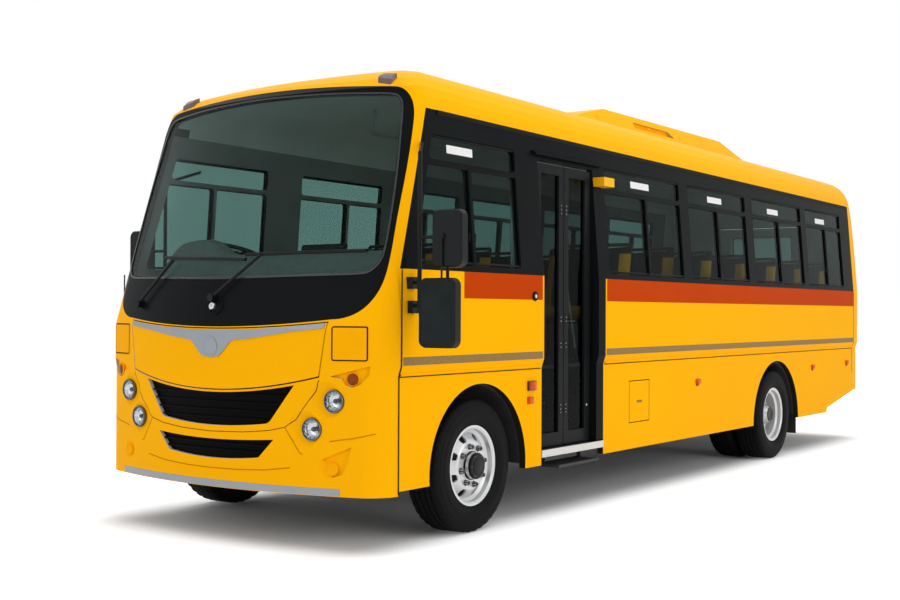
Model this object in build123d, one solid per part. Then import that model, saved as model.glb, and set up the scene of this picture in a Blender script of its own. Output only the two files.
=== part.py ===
"""School bus: hollow bus body on a ladder chassis, with folding entrance door, twin rear wheels and real joints.

Millimetres. The front faces -Y, +X is the entrance side (the bus's left), +Z is up.
The origin lies on the ground, midway along the bus and midway between its sides.
"""
from build123d import *
import math
import os

# ---- driving dimensions -------------------------------------------------------------------
FRONT_Y = -4140
REAR_Y = 4140
FRONT_SEAM_Y = -3820          # upright seam between the front cap and the sides
REAR_SEAM_Y = 3780            # upright seam between the sides and the rear cap
HALF_WIDTH = 1116             # at the belt, between the rub rail and the windows
SKIRT_HALF_WIDTH = 1098
EAVES_HALF_WIDTH = 1045
WALL = 45
RAKE = math.tan(math.radians(17.5))

SKIRT_Z = 330
FRONT_SKIRT_Z = 305
RUB_RAIL_Z = 949
RUB_RAIL_TOP_Z = 1000
RAKE_START_Z = 1200
BELT_Z = 1524                 # the yellow side ends and the black window band begins
EAVES_Z = 2433                # at the front; the eaves and the roof fall a little towards the rear
EAVES_PIVOT_Y = FRONT_SEAM_Y + 300
ROOF_TILT_DEG = 0.286
COVE_TOP_Z = 2560             # the windscreen's plane ends and the front dome begins
CROWN_Z = 2818
COVE_RADIUS = 290
COVE_END_DEG = 18
REAR_ARC_Z = 1700
REAR_ARC_RADIUS = 4400

FRONT_BULGE_RADIUS = 3186
REAR_BULGE_RADIUS = 5000
FRONT_CORNER_RADIUS = 200     # up to the belt, narrowing to the next one at the eaves
TOP_CORNER_RADIUS = 100
REAR_CORNER_RADIUS = 170

FRONT_AXLE_Y = FRONT_SEAM_Y + 778
REAR_AXLE_Y = FRONT_SEAM_Y + 5500
AXLE_Z = 392
TYRE_RADIUS = 392
TYRE_HALF_WIDTH = 117
BEAD_RADIUS = 224
FLANGE_RADIUS = 236
FRONT_TYRE_X = 950
REAR_OUTER_TYRE_X = 965
REAR_INNER_TYRE_X = 700
REAR_HUB_FACE_X = (REAR_OUTER_TYRE_X + REAR_INNER_TYRE_X) / 2
KINGPIN_X = 800
FRONT_ARCH_RADIUS = 500
FRONT_ARCH_Z = 375
REAR_ARCH_RADIUS = 540
REAR_ARCH_Z = 330

TOW_EYE_INSET = 160
TOW_EYE_X = 370
TOW_EYE_Z = 460
TOW_EYE_RADIUS = 20
TOW_LUG_HALF = 20
RAIL_OUTER_X = 400
RAIL_INNER_X = 340
RAIL_BOTTOM_Z = 580
RAIL_TOP_Z = 780
FLOOR_BOTTOM_Z = 860
FLOOR_Z = 900

DOOR_FRONT_Y = FRONT_SEAM_Y + 1465
DOOR_REAR_Y = FRONT_SEAM_Y + 2275
LEAF_REAR_Y = FRONT_SEAM_Y + 2170
POST_FRONT_Y = FRONT_SEAM_Y + 2178
DOOR_TOP_Z = 2260
DOOR_SILL_Z = 420
LEAF_OUTER_X = 1050
LEAF_THICKNESS = 34
LEAF_BOTTOM_Z = 432
LEAF_TOP_Z = 2245
JAMB_GAP = 12
LEAF_PIN_INSET = 20
FIRST_TREAD_X = 620
SECOND_TREAD_X = 412
SECOND_TREAD_Z = 660

HATCH_FRONT_Y = FRONT_SEAM_Y + 2655
HATCH_REAR_Y = FRONT_SEAM_Y + 2973
HATCH_BOTTOM_Z = 512
HATCH_TOP_Z = 812

WINDOW_BOTTOM_Z = 1560
WINDOW_TOP_Z = 2290
TRANSOM_Z = 2135
WINDOW_BAR = 28
# side windows, distances behind the front seam: front edge, rear edge, slider's bar
SIDE_WINDOWS = [
    (130, 1198, 700),
    (2337, 3538, 2965),
    (3692, 4841, 4255),
    (4995, 6185, 5610),
    (6308, 7313, 6860),
]
RIGHT_EXTRA_WINDOWS = [(1555, 2500, 2095), (2650, 3560, 3110)]
FIRST_WINDOW_LEAN = 0.288     # the first window's front edge follows the raked pillar

SEAT_PITCH = 720
SEAT_INNER_X = 240
SEAT_OUTER_X = 1000
SEAT_CUSHION_Z = 1340
SEAT_TOP_Z = 1800


# ---- helpers ------------------------------------------------------------------------------
def block(x0, x1, y0, y1, z0, z1):
    """A box between two corners."""
    return Pos((x0 + x1) / 2, (y0 + y1) / 2, (z0 + z1) / 2) * Box(x1 - x0, y1 - y0, z1 - z0)


def outline_x(points, x0, x1):
    """A (y, z) outline pushed along X from x0 to x1."""
    plane = Plane(origin=(x0, 0, 0), x_dir=(0, 1, 0), z_dir=(1, 0, 0))
    return extrude(plane * make_face(Polyline(*points, close=True)), amount=x1 - x0)


def outline_y(face, y0, y1):
    """An (x, z) face pushed along Y from y0 to y1."""
    plane = Plane(origin=(0, y0, 0), x_dir=(1, 0, 0), z_dir=(0, -1, 0))
    return extrude(plane * face, amount=y0 - y1)


def rod(start, end, radius):
    """A round bar between two points."""
    start, end = Vector(*start), Vector(*end)
    plane = Plane(origin=start, z_dir=end - start)
    lowest = (Align.CENTER, Align.CENTER, Align.MIN)
    return plane * Cylinder(radius, (end - start).length, align=lowest)


def disc_x(x0, x1, y, z, radius):
    """A round disc whose axis runs along X."""
    return rod((x0, y, z), (x1, y, z), radius)


def mirrored(shape):
    """The same shape on the other side of the bus."""
    return mirror(shape, about=Plane.YZ)


def ring_about_x(profile, y, z):
    """A (x, radius) outline turned about the line along X through (y, z)."""
    plane = Plane(origin=(0, y, z), x_dir=(1, 0, 0), z_dir=(0, -1, 0))
    face = plane * make_face(Polyline(*profile, close=True))
    return revolve(face, Axis((0, y, z), (1, 0, 0)), 360)


# ---- the body's outer form ----------------------------------------------------------------
COVE_START_DEG = math.degrees(math.atan((HALF_WIDTH - EAVES_HALF_WIDTH) / (EAVES_Z - BELT_Z)))
COVE_CENTRE_X = EAVES_HALF_WIDTH - COVE_RADIUS * math.cos(math.radians(COVE_START_DEG))
COVE_CENTRE_Z = EAVES_Z - COVE_RADIUS * math.sin(math.radians(COVE_START_DEG))
COVE_END_X = COVE_CENTRE_X + COVE_RADIUS * math.sin(math.radians(COVE_END_DEG))
COVE_END_Z = COVE_CENTRE_Z + COVE_RADIUS * math.cos(math.radians(COVE_END_DEG))
ROOF_RADIUS = COVE_END_X / math.sin(math.radians(COVE_END_DEG))
ROOF_CENTRE_Z = COVE_END_Z - ROOF_RADIUS * math.cos(math.radians(COVE_END_DEG))
ROOF_CROWN_Z = ROOF_CENTRE_Z + ROOF_RADIUS
FRONT_DOME_Y = FRONT_Y + (COVE_TOP_Z - RAKE_START_Z) * RAKE
FRONT_DOME_LENGTH = 1300
REAR_DOME_LENGTH = 1500
REAR_SHOULDER_Z = 2600


def half_width(z):
    """Half the body's width at a height."""
    if z < RUB_RAIL_TOP_Z:
        return SKIRT_HALF_WIDTH
    if z <= BELT_Z:
        return HALF_WIDTH
    if z <= EAVES_Z:
        return HALF_WIDTH + (EAVES_HALF_WIDTH - HALF_WIDTH) * (z - BELT_Z) / (EAVES_Z - BELT_Z)
    if z <= COVE_END_Z:
        return COVE_CENTRE_X + math.sqrt(COVE_RADIUS ** 2 - (z - COVE_CENTRE_Z) ** 2)
    return math.sqrt(ROOF_RADIUS ** 2 - (z - ROOF_CENTRE_Z) ** 2)


def front_y(z):
    """The foremost point of the body at a height."""
    if z <= RAKE_START_Z:
        return FRONT_Y
    if z <= COVE_TOP_Z:
        return FRONT_Y + (z - RAKE_START_Z) * RAKE
    rise = (z - COVE_TOP_Z) / (ROOF_CROWN_Z - COVE_TOP_Z)
    return FRONT_DOME_Y + FRONT_DOME_LENGTH * (1 - math.sqrt(max(0, 1 - rise ** 1.5)))


def rear_y(z):
    """The rearmost point of the body at a height."""
    if z <= REAR_ARC_Z:
        return REAR_Y
    lean = REAR_ARC_RADIUS - math.sqrt(REAR_ARC_RADIUS ** 2 - (min(z, REAR_SHOULDER_Z) - REAR_ARC_Z) ** 2)
    if z <= REAR_SHOULDER_Z:
        return REAR_Y - lean
    rise = (z - REAR_SHOULDER_Z) / (ROOF_CROWN_Z - REAR_SHOULDER_Z)
    return REAR_Y - lean - REAR_DOME_LENGTH * (1 - math.sqrt(max(0, 1 - rise ** 3)))


def front_corner(z):
    """The radius of the body's front corners at a height."""
    climb = min(1, max(0, (z - BELT_Z) / (EAVES_Z - BELT_Z)))
    return FRONT_CORNER_RADIUS + (TOP_CORNER_RADIUS - FRONT_CORNER_RADIUS) * climb


SECTION_HEIGHTS = [280, 949, 1000, 1200, 1524, 1700, 1900, 2080, 2250, EAVES_Z, 2505, 2560, 2620,
                   2665, 2700, 2735, 2765, 2790, 2806, 2815]


def plan_section(z, inset):
    """The body's level outline at a height, moved inwards by a wall thickness."""
    drop = 0 if z < EAVES_Z else inset * min(1, (z - EAVES_Z) / (COVE_END_Z - EAVES_Z))
    half = half_width(z) - inset * (1 if z < COVE_END_Z else 0.3)
    nose = front_y(z) + inset
    tail = rear_y(z) - inset
    nose_corner = min(front_corner(z), 0.7 * half) - inset * 0.9
    tail_corner = min(REAR_CORNER_RADIUS, 0.7 * half) - inset * 0.9
    nose_centre = nose + FRONT_BULGE_RADIUS
    tail_centre = tail - REAR_BULGE_RADIUS
    nose_reach = FRONT_BULGE_RADIUS - nose_corner
    tail_reach = REAR_BULGE_RADIUS - tail_corner
    nose_side_y = nose_centre - math.sqrt(nose_reach ** 2 - (half - nose_corner) ** 2)
    tail_side_y = tail_centre + math.sqrt(tail_reach ** 2 - (half - tail_corner) ** 2)
    nose_angle = math.asin((half - nose_corner) / nose_reach)
    tail_angle = math.asin((half - tail_corner) / tail_reach)

    def nose_point(angle):
        return (half - nose_corner + nose_corner * math.sin(angle), nose_side_y - nose_corner * math.cos(angle))

    def tail_point(angle):
        return (half - tail_corner + tail_corner * math.sin(angle), tail_side_y + tail_corner * math.cos(angle))

    quarter = math.pi / 2
    nose_start = nose_point(nose_angle)
    nose_middle = nose_point((nose_angle + quarter) / 2)
    nose_end = nose_point(quarter)
    tail_start = tail_point(quarter)
    tail_middle = tail_point((tail_angle + quarter) / 2)
    tail_end = tail_point(tail_angle)

    def left(point):
        return (-point[0], point[1])

    edges = [
        ThreePointArc(left(nose_start), (0, nose), nose_start),
        ThreePointArc(nose_start, nose_middle, nose_end),
        Line(nose_end, tail_start),
        ThreePointArc(tail_start, tail_middle, tail_end),
        ThreePointArc(tail_end, (0, tail), left(tail_end)),
        ThreePointArc(left(tail_end), left(tail_middle), left(tail_start)),
        Line(left(tail_start), left(nose_end)),
        ThreePointArc(left(nose_end), left(nose_middle), left(nose_start)),
    ]
    outline = make_face(Curve() + edges)
    if z < EAVES_Z:
        return Pos(0, 0, z) * outline
    return Pos(0, EAVES_PIVOT_Y, z - drop) * Rot(-ROOF_TILT_DEG, 0, 0) * Pos(0, -EAVES_PIVOT_Y, 0) * outline


def body_solid(inset):
    """The whole body as one solid, moved inwards by a wall thickness."""
    return loft([plan_section(z, inset) for z in SECTION_HEIGHTS], ruled=True)


OUTER = body_solid(0)
INNER = body_solid(WALL)
SHELL = OUTER - INNER


def glass_layer(outside, thickness):
    """A thin skin that lies a little inside the body's outer form."""
    return body_solid(outside) - body_solid(outside + thickness)


# ---- cutting outlines ---------------------------------------------------------------------
BIG = 6000
PILLAR_FOOT_Y = FRONT_SEAM_Y + 20
PILLAR_TOP_Y = FRONT_SEAM_Y + 313
PILLAR_TOP_Z = 2470


def eaves_z(y):
    """The height of the eaves line at a distance along the bus."""
    return EAVES_Z - (y - EAVES_PIVOT_Y) * math.tan(math.radians(ROOF_TILT_DEG))


ROOF_MASK = outline_x([(-BIG, eaves_z(-BIG)), (BIG, eaves_z(BIG)), (BIG, 3200), (-BIG, 3200)], -2000, 2000)
FRONT_MASK = outline_x(
    [(-BIG, 0), (FRONT_SEAM_Y, 0), (FRONT_SEAM_Y, BELT_Z), (PILLAR_FOOT_Y, BELT_Z), (PILLAR_TOP_Y, PILLAR_TOP_Z),
     (-BIG, PILLAR_TOP_Z)], -2000, 2000) - ROOF_MASK
REAR_MASK = block(-2000, 2000, REAR_SEAM_Y, BIG, 0, PILLAR_TOP_Z) - ROOF_MASK
LOWER_MASK = block(-2000, 2000, -BIG, BIG, 0, BELT_Z)
LEFT_MASK = block(0, 2000, -BIG, BIG, 0, 3200)
RIGHT_MASK = block(-2000, 0, -BIG, BIG, 0, 3200)


# the right half of the windscreen surround's edge and of the windscreen's, (x, z) from the foot up
SURROUND_EDGE = [(800, 1250), (885, 1264), (965, 1310), (1012, 1376), (1032, 1440), (1041, 1520), (1042, 1620),
                 (1037, 1800), (1034, 2034), (1027, 2238), (1020, 2353), (1003, 2450), (958, 2522), (880, 2558)]
SCREEN_EDGE = [(900, 1505), (957, 1520), (993, 1568), (1002, 1640), (990, 1980), (963, 2270), (944, 2420),
               (919, 2482), (865, 2506)]
SURROUND_FOOT_Z = 1205
SURROUND_HEAD_Z = 2598
SCREEN_FOOT_Z = 1487
SCREEN_HEAD_Z = 2540


def surround_face():
    """The black windscreen surround's outline, seen from the front."""
    left = [(-x, z) for x, z in reversed(SURROUND_EDGE)]
    lower = ThreePointArc(left[-1], (0, SURROUND_FOOT_Z), SURROUND_EDGE[0])
    upper = ThreePointArc(SURROUND_EDGE[-1], (0, SURROUND_HEAD_Z), left[0])
    return make_face(Curve() + [lower, Spline(*SURROUND_EDGE), upper, Spline(*left)])


def windscreen_face(margin):
    """The windscreen's outline, seen from the front, smaller by a margin."""
    right = [(x - margin, z + margin if z < 2000 else z - margin) for x, z in SCREEN_EDGE]
    left = [(-x, z) for x, z in reversed(right)]
    lower = ThreePointArc(left[-1], (0, SCREEN_FOOT_Z + margin), right[0])
    upper = ThreePointArc(right[-1], (0, SCREEN_HEAD_Z - margin), left[0])
    return make_face(Curve() + [lower, Spline(*right), upper, Spline(*left)])


def lid_face(gap):
    """The front service lid's outline, seen from the front, smaller by a gap."""
    right = [(738 - gap, 938 + gap), (784 - gap, 1239 - gap)]
    left = [(-x, z) for x, z in reversed(right)]
    lower = ThreePointArc(left[-1], (0, 849 + gap), right[0])
    upper = ThreePointArc(right[-1], (0, 1200 - gap), left[0])
    return make_face(Curve() + [lower, Line(*right), upper, Line(*left)])


def grille_face(top_half, top_side_z, top_centre_z, low_half, low_side_z, low_centre_z, rounding):
    """A smiling grille opening with rounded lower corners, seen from the front."""
    lower = ThreePointArc((-low_half, low_side_z), (0, low_centre_z), (low_half, low_side_z))
    upper = ThreePointArc((top_half, top_side_z), (0, top_centre_z), (-top_half, top_side_z))
    side = Line((low_half, low_side_z), (top_half, top_side_z))
    other = Line((-top_half, top_side_z), (-low_half, low_side_z))
    face = make_face(Curve() + [lower, side, upper, other])
    return fillet(face.vertices().sort_by(Axis.Y)[:2], rounding)


UPPER_GRILLE = grille_face(587, 893, 838, 424, 679, 651, 62)
LOWER_GRILLE = grille_face(457, 592, 575, 356, 488, 467, 26)


def front_prism(face):
    """A front outline pushed through the front of the body."""
    return outline_y(face, FRONT_Y - 100, FRONT_Y + 750)


def window_box(front, rear, bottom, top, lean=0):
    """A rounded side window opening, on the entrance side, whose front edge may lean back."""
    plane = Plane(origin=(900, 0, 0), x_dir=(0, 1, 0), z_dir=(1, 0, 0))
    low = FRONT_SEAM_Y + front + lean * (bottom - WINDOW_BOTTOM_Z)
    high = FRONT_SEAM_Y + front + lean * (top - WINDOW_BOTTOM_Z)
    end = FRONT_SEAM_Y + rear
    corners = make_face(Polyline((low, bottom), (end, bottom), (end, top), (high, top), close=True))
    rounded = fillet(corners.vertices(), 28)
    return extrude(plane * rounded, amount=400)


def window_openings(windows):
    """Three panes for each window: a fixed one above and two sliding ones below."""
    openings = []
    half_bar = WINDOW_BAR / 2
    for front, rear, bar in windows:
        lean = FIRST_WINDOW_LEAN if front == SIDE_WINDOWS[0][0] else 0
        openings.append(window_box(front, rear, TRANSOM_Z + half_bar, WINDOW_TOP_Z, lean))
        openings.append(window_box(front, bar - half_bar, WINDOW_BOTTOM_Z, TRANSOM_Z - half_bar, lean))
        openings.append(window_box(bar + half_bar, rear, WINDOW_BOTTOM_Z, TRANSOM_Z - half_bar))
    return openings


LEFT_WINDOWS = SIDE_WINDOWS
RIGHT_WINDOWS = [SIDE_WINDOWS[0]] + RIGHT_EXTRA_WINDOWS + SIDE_WINDOWS[2:]

ARCHES = [
    disc_x(-2000, 2000, FRONT_AXLE_Y, FRONT_ARCH_Z, FRONT_ARCH_RADIUS),
    disc_x(-2000, 2000, REAR_AXLE_Y, REAR_ARCH_Z, REAR_ARCH_RADIUS),
]
KICK = outline_x(
    [(FRONT_SEAM_Y + 6820, 100), (FRONT_SEAM_Y + 6820, SKIRT_Z + 2), (FRONT_SEAM_Y + 6850, 375),
     (FRONT_SEAM_Y + 7670, 514), (BIG, 560), (BIG, 100)], -2000, 2000)
BELOW_SKIRT = block(-2000, 2000, FRONT_SEAM_Y, BIG, 0, SKIRT_Z)
BELOW_FRONT = block(-2000, 2000, -BIG, FRONT_SEAM_Y, 0, FRONT_SKIRT_Z)
DOORWAY = block(800, 2000, DOOR_FRONT_Y, DOOR_REAR_Y, 0, DOOR_TOP_Z)
HATCH_OPENING = block(900, 1300, HATCH_FRONT_Y, HATCH_REAR_Y, HATCH_BOTTOM_Z, HATCH_TOP_Z)
SIDES = SHELL - FRONT_MASK - REAR_MASK - ROOF_MASK
FRONT_CAP = SHELL & FRONT_MASK

parts = {}


# ---- body panels --------------------------------------------------------------------------
def side_panels():
    lower = SIDES & LOWER_MASK
    for cut in ARCHES + [KICK, BELOW_SKIRT]:
        lower = lower - cut
    parts["side_left"] = (lower & LEFT_MASK) - DOORWAY - HATCH_OPENING
    parts["side_right"] = lower & RIGHT_MASK
    hatch = block(900, 1300, HATCH_FRONT_Y + 6, HATCH_REAR_Y - 6, HATCH_BOTTOM_Z + 6, HATCH_TOP_Z - 6)
    parts["skirt_hatch"] = lower & LEFT_MASK & hatch


def window_bands():
    band = SIDES - LOWER_MASK
    left = (band & LEFT_MASK) - DOORWAY
    left = left.cut(*window_openings(LEFT_WINDOWS))
    right = (band & RIGHT_MASK).cut(*[mirrored(opening) for opening in window_openings(RIGHT_WINDOWS)])
    post = SHELL & block(900, 1300, POST_FRONT_Y, DOOR_REAR_Y, LEAF_BOTTOM_Z, DOOR_TOP_Z)
    canopy = outline_y(make_face(Polyline(
        (1030, DOOR_TOP_Z + 34), (1088, DOOR_TOP_Z + 28), (1088, DOOR_TOP_Z + 38), (1030, DOOR_TOP_Z + 70),
        close=True)), DOOR_FRONT_Y - 60, DOOR_REAR_Y + 20)
    parts["window_bands"] = Compound((left + post + (canopy - INNER)).solids() + right.solids())
    skin = glass_layer(14, 6) - FRONT_MASK - REAR_MASK
    panes = [skin & opening for opening in window_openings(LEFT_WINDOWS)]
    panes += [skin & mirrored(opening) for opening in window_openings(RIGHT_WINDOWS)]
    parts["side_glass"] = Compound(panes)


def front_surface_y(x, z):
    """Where the front of the body lies at a place seen from the front."""
    return front_y(z) + FRONT_BULGE_RADIUS - math.sqrt(FRONT_BULGE_RADIUS ** 2 - x ** 2)


def lamp_dish(x, z, dish, depth):
    """A round hollow in the body's front whose middle is so deep."""
    radius = (dish ** 2 + depth ** 2) / (2 * depth)
    centre_y = front_surface_y(x, z) - radius + depth
    return [Pos(side * x, centre_y, z) * Sphere(radius) for side in (1, -1)]


LID_THICKNESS = 12
RECESS_DEPTH = 18


def front_end():
    surround = (SHELL & front_prism(surround_face()) & (FRONT_MASK + ROOF_MASK))
    parts["windscreen_surround"] = surround - front_prism(windscreen_face(0))
    parts["windscreen"] = glass_layer(4, 7) & front_prism(windscreen_face(2))
    fascia = FRONT_CAP - front_prism(surround_face()) - BELOW_FRONT
    for face in (lid_face(0), UPPER_GRILLE, LOWER_GRILLE):
        fascia = fascia - front_prism(face)
    for lamp in LAMPS:
        fascia = fascia - lamp_recess(*lamp)
    for x, z, dish, depth in LAMP_DISHES:
        for hollow in lamp_dish(x, z, dish, depth):
            fascia = fascia - hollow
    skin = OUTER - body_solid(RECESS_DEPTH)
    for corners in (BROW, FOG_RECESS):
        for side in (1, -1):
            face = make_face(Polyline(*[(side * x, z) for x, z in corners], close=True))
            fascia = fascia - (skin & front_prism(face))
    parts["front_fascia"] = fascia
    parts["service_lid"] = (OUTER - body_solid(LID_THICKNESS)) & front_prism(lid_face(7))


# headlamps and the round turn lamp: half spread, height, outer radius
LAMPS = [(820, 812, 62), (692, 658, 62), (922, 932, 34)]
# moulded hollows round the lamps: half spread, height, hollow's radius, depth
LAMP_DISHES = [(820, 812, 92, 20), (692, 658, 92, 20), (812, 450, 58, 16)]
# the brow over the turn lamp and the three-cornered recess under the headlamps, (x, z) corners
BROW = [(800, 944), (880, 966), (1020, 1004), (1012, 955), (975, 908), (925, 888), (888, 900), (866, 932)]
FOG_RECESS = [(757, 500), (922, 572), (900, 480), (872, 424), (812, 404)]


def lamp_recess(x, z, radius):
    pair = [rod((side * x, FRONT_Y - 50, z), (side * x, FRONT_Y + 400, z), radius + 2) for side in (1, -1)]
    return Compound(pair)


# lamps on the sides: distance behind the front seam, height, length, height of the lamp
SIDE_LAMPS = [(1339, 838, 84, 58), (1322, 748, 56, 44), (3802, 760, 52, 30), (6414, 788, 46, 28),
              (7420, 800, 46, 28)]


def front_lamps():
    layer = body_solid(6) - body_solid(44)
    lamps = []
    for x, z, radius in LAMPS[:2]:
        for side in (1, -1):
            lamps.append(layer & rod((side * x, FRONT_Y - 50, z), (side * x, FRONT_Y + 400, z), radius))
    parts["headlamps"] = Compound(lamps)
    amber = []
    x, z, radius = LAMPS[2]
    for side in (1, -1):
        amber.append(layer & rod((side * x, FRONT_Y - 50, z), (side * x, FRONT_Y + 400, z), radius))
    skin = body_solid(-22) - OUTER
    for side in (1, -1):
        amber.append(skin & block(side * 800 - 45, side * 800 + 45, -3583, -3525, 2500, 2760))
    flank = body_solid(-14) - OUTER
    for station, z, length, height in SIDE_LAMPS:
        y = FRONT_SEAM_Y + station
        lamp = flank & block(900, 1300, y - length / 2, y + length / 2, z - height / 2, z + height / 2)
        amber += [lamp, mirrored(lamp)]
    box_lamp = block(1000, 1150, POST_FRONT_Y + 6, POST_FRONT_Y + 150, 2150, 2210) - OUTER
    parts["amber_lamps"] = Compound(amber + [box_lamp])


def grilles():
    back = body_solid(25) - body_solid(WALL)
    front = body_solid(9) - body_solid(25)
    bars = []
    for face, heights in ((UPPER_GRILLE, (690, 735, 780, 825)), (LOWER_GRILLE, (510, 548))):
        grille = back & front_prism(face)
        for z in heights:
            grille = grille + (front & front_prism(face) & block(-2000, 2000, -BIG, 0, z, z + 9))
        bars.append(grille)
    parts["grilles"] = Compound(bars)


# rear emergency door in the rear panel
REAR_DOOR_HALF = 460
REAR_DOOR_BOTTOM_Z = 1060
REAR_DOOR_TOP_Z = 2230


def rear_end():
    cap = SHELL & REAR_MASK
    cap = cap - KICK
    doorway = block(-REAR_DOOR_HALF, REAR_DOOR_HALF, 3600, 4300, REAR_DOOR_BOTTOM_Z, REAR_DOOR_TOP_Z)
    leaf = block(-REAR_DOOR_HALF + 7, REAR_DOOR_HALF - 7, 3600, 4300, REAR_DOOR_BOTTOM_Z + 7, REAR_DOOR_TOP_Z - 7)
    window = block(-340, 340, 3600, 4300, 1600, 2130)
    parts["rear_panel"] = cap - doorway - rear_lamp_recess()
    parts["rear_door"] = (cap & leaf) - window
    parts["rear_door_glass"] = (glass_layer(14, 6) & window)


def rear_lamp_recess():
    cuts = [block(side * 800 - 75, side * 800 + 75, 3600, 4300, 830, 1180) for side in (1, -1)]
    return Compound(cuts)


def rear_lamps():
    layer = body_solid(-3) - body_solid(38)
    lamps = [layer & block(side * 800 - 73, side * 800 + 73, 3600, 4300, 832, 1178) for side in (1, -1)]
    parts["rear_lamps"] = Compound(lamps)


def roof():
    parts["roof_shell"] = (SHELL & ROOF_MASK) - front_prism(surround_face())
    base = Pos(0, FRONT_SEAM_Y + 4440, 2740) * Rectangle(1080, 3440)
    top = Pos(0, FRONT_SEAM_Y + 4585, 2905) * Rectangle(900, 2270)
    pod = loft([base, top], ruled=True) - OUTER
    for side in (1, -1):
        slot = outline_x([(FRONT_SEAM_Y + 3900, 2852), (FRONT_SEAM_Y + 4560, 2852), (FRONT_SEAM_Y + 4640, 2800),
                          (FRONT_SEAM_Y + 3900, 2800)], side * 455, side * 455 + 200)
        pod = pod - slot
    parts["roof_pod"] = pod


# ---- entrance -----------------------------------------------------------------------------
def leaf(front, rear, front_stile, rear_stile):
    """One door leaf's frame and its pane."""
    inner = LEAF_OUTER_X - LEAF_THICKNESS
    panel = block(inner, LEAF_OUTER_X, front, rear, LEAF_BOTTOM_Z, LEAF_TOP_Z)
    opening = (front + front_stile, rear - rear_stile, LEAF_BOTTOM_Z + 85, LEAF_TOP_Z - 62)
    frame = panel - block(inner - 1, LEAF_OUTER_X + 1, *opening)
    return frame, block(inner + 12, inner + 18, *opening)


def entrance():
    middle = (DOOR_FRONT_Y + LEAF_REAR_Y) / 2
    frame, pane = leaf(DOOR_FRONT_Y + JAMB_GAP, middle - 4, 52, 58)
    parts["door_leaf_front"] = frame
    parts["door_glass_front"] = pane
    frame, pane = leaf(middle + 4, LEAF_REAR_Y, 58, 74)
    parts["door_leaf_rear"] = frame
    parts["door_glass_rear"] = pane
    parts["entrance_sill"] = block(1095, 1104, DOOR_FRONT_Y + 3, DOOR_REAR_Y - 3, DOOR_SILL_Z - 42, DOOR_SILL_Z + 3)
    inner_x = LEAF_OUTER_X - LEAF_THICKNESS - 6
    sheet = 12
    steps = outline_y(make_face(Polyline(
        (1095, DOOR_SILL_Z), (1095, DOOR_SILL_Z - 40), (FIRST_TREAD_X - sheet, DOOR_SILL_Z - 40),
        (FIRST_TREAD_X - sheet, SECOND_TREAD_Z - sheet), (SECOND_TREAD_X - sheet + 14, SECOND_TREAD_Z - sheet),
        (SECOND_TREAD_X + 2, FLOOR_Z), (SECOND_TREAD_X + 2 + sheet, FLOOR_Z),
        (SECOND_TREAD_X + sheet + 2, SECOND_TREAD_Z), (FIRST_TREAD_X, SECOND_TREAD_Z),
        (FIRST_TREAD_X, DOOR_SILL_Z), close=True)), DOOR_FRONT_Y + 2, DOOR_REAR_Y - 2)
    cheek = outline_y(make_face(Polyline(
        (inner_x, DOOR_SILL_Z), (FIRST_TREAD_X, DOOR_SILL_Z), (FIRST_TREAD_X, SECOND_TREAD_Z),
        (SECOND_TREAD_X + sheet + 2, SECOND_TREAD_Z), (SECOND_TREAD_X + sheet + 2, FLOOR_Z), (inner_x, FLOOR_Z),
        close=True)), DOOR_FRONT_Y + 2, DOOR_FRONT_Y + 8)
    other = Pos(0, DOOR_REAR_Y - DOOR_FRONT_Y - 10, 0) * cheek
    foot = block(930, 1112, DOOR_FRONT_Y + 195, DOOR_REAR_Y - 90, 296, 312)
    legs = [block(960, 990, y, y + 12, 300, 385) for y in (DOOR_FRONT_Y + 215, DOOR_REAR_Y - 122)]
    well = steps + cheek + other + foot
    for leg in legs:
        well = well + leg
    parts["stepwell"] = well


# ---- floor, chassis and running gear ------------------------------------------------------
ENGINE_HALF_X = 310
ENGINE_FRONT_Y = -3700
ENGINE_REAR_Y = -2780


def floor():
    level = Pos(0, 0, FLOOR_BOTTOM_Z) * make_face(Polyline(
        (-1040, FRONT_SEAM_Y + 30), (1040, FRONT_SEAM_Y + 30), (1040, REAR_SEAM_Y + 40), (900, 3980),
        (-900, 3980), (-1040, REAR_SEAM_Y + 40), close=True))
    deck = extrude(level, amount=FLOOR_Z - FLOOR_BOTTOM_Z)
    well = block(SECOND_TREAD_X, 1200, DOOR_FRONT_Y - 2, DOOR_REAR_Y + 2, 700, 1000)
    engine = block(-ENGINE_HALF_X - 60, ENGINE_HALF_X + 60, ENGINE_FRONT_Y - 50, ENGINE_REAR_Y + 50, 700, 1000)
    hollow = disc_x(660, 1200, FRONT_AXLE_Y, FRONT_ARCH_Z, FRONT_ARCH_RADIUS + 2)
    parts["floor_deck"] = deck - well - engine - hollow - mirrored(hollow)
    outer = block(-ENGINE_HALF_X - 100, ENGINE_HALF_X + 100, ENGINE_FRONT_Y - 80, ENGINE_REAR_Y + 90, FLOOR_Z, 1290)
    inner = block(-ENGINE_HALF_X - 60, ENGINE_HALF_X + 60, ENGINE_FRONT_Y - 50, ENGINE_REAR_Y + 50, FLOOR_Z - 10, 1250)
    parts["engine_cover"] = outer - inner
    head = block(-ENGINE_HALF_X, ENGINE_HALF_X, ENGINE_FRONT_Y, ENGINE_REAR_Y, 520, 1200)
    gearbox = block(-190, 190, ENGINE_REAR_Y, ENGINE_REAR_Y + 420, 480, 800)
    parts["engine_block"] = head + gearbox


# cross members of the ladder frame, distances behind the front seam
CROSS_MEMBERS = [-150, 1560, 2700, 3750, 4700, 6250, 7550]
OUTRIGGERS = [180, 1400, 2380, 3250, 4200, 4820, 6160, 6900, 7500]


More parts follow.
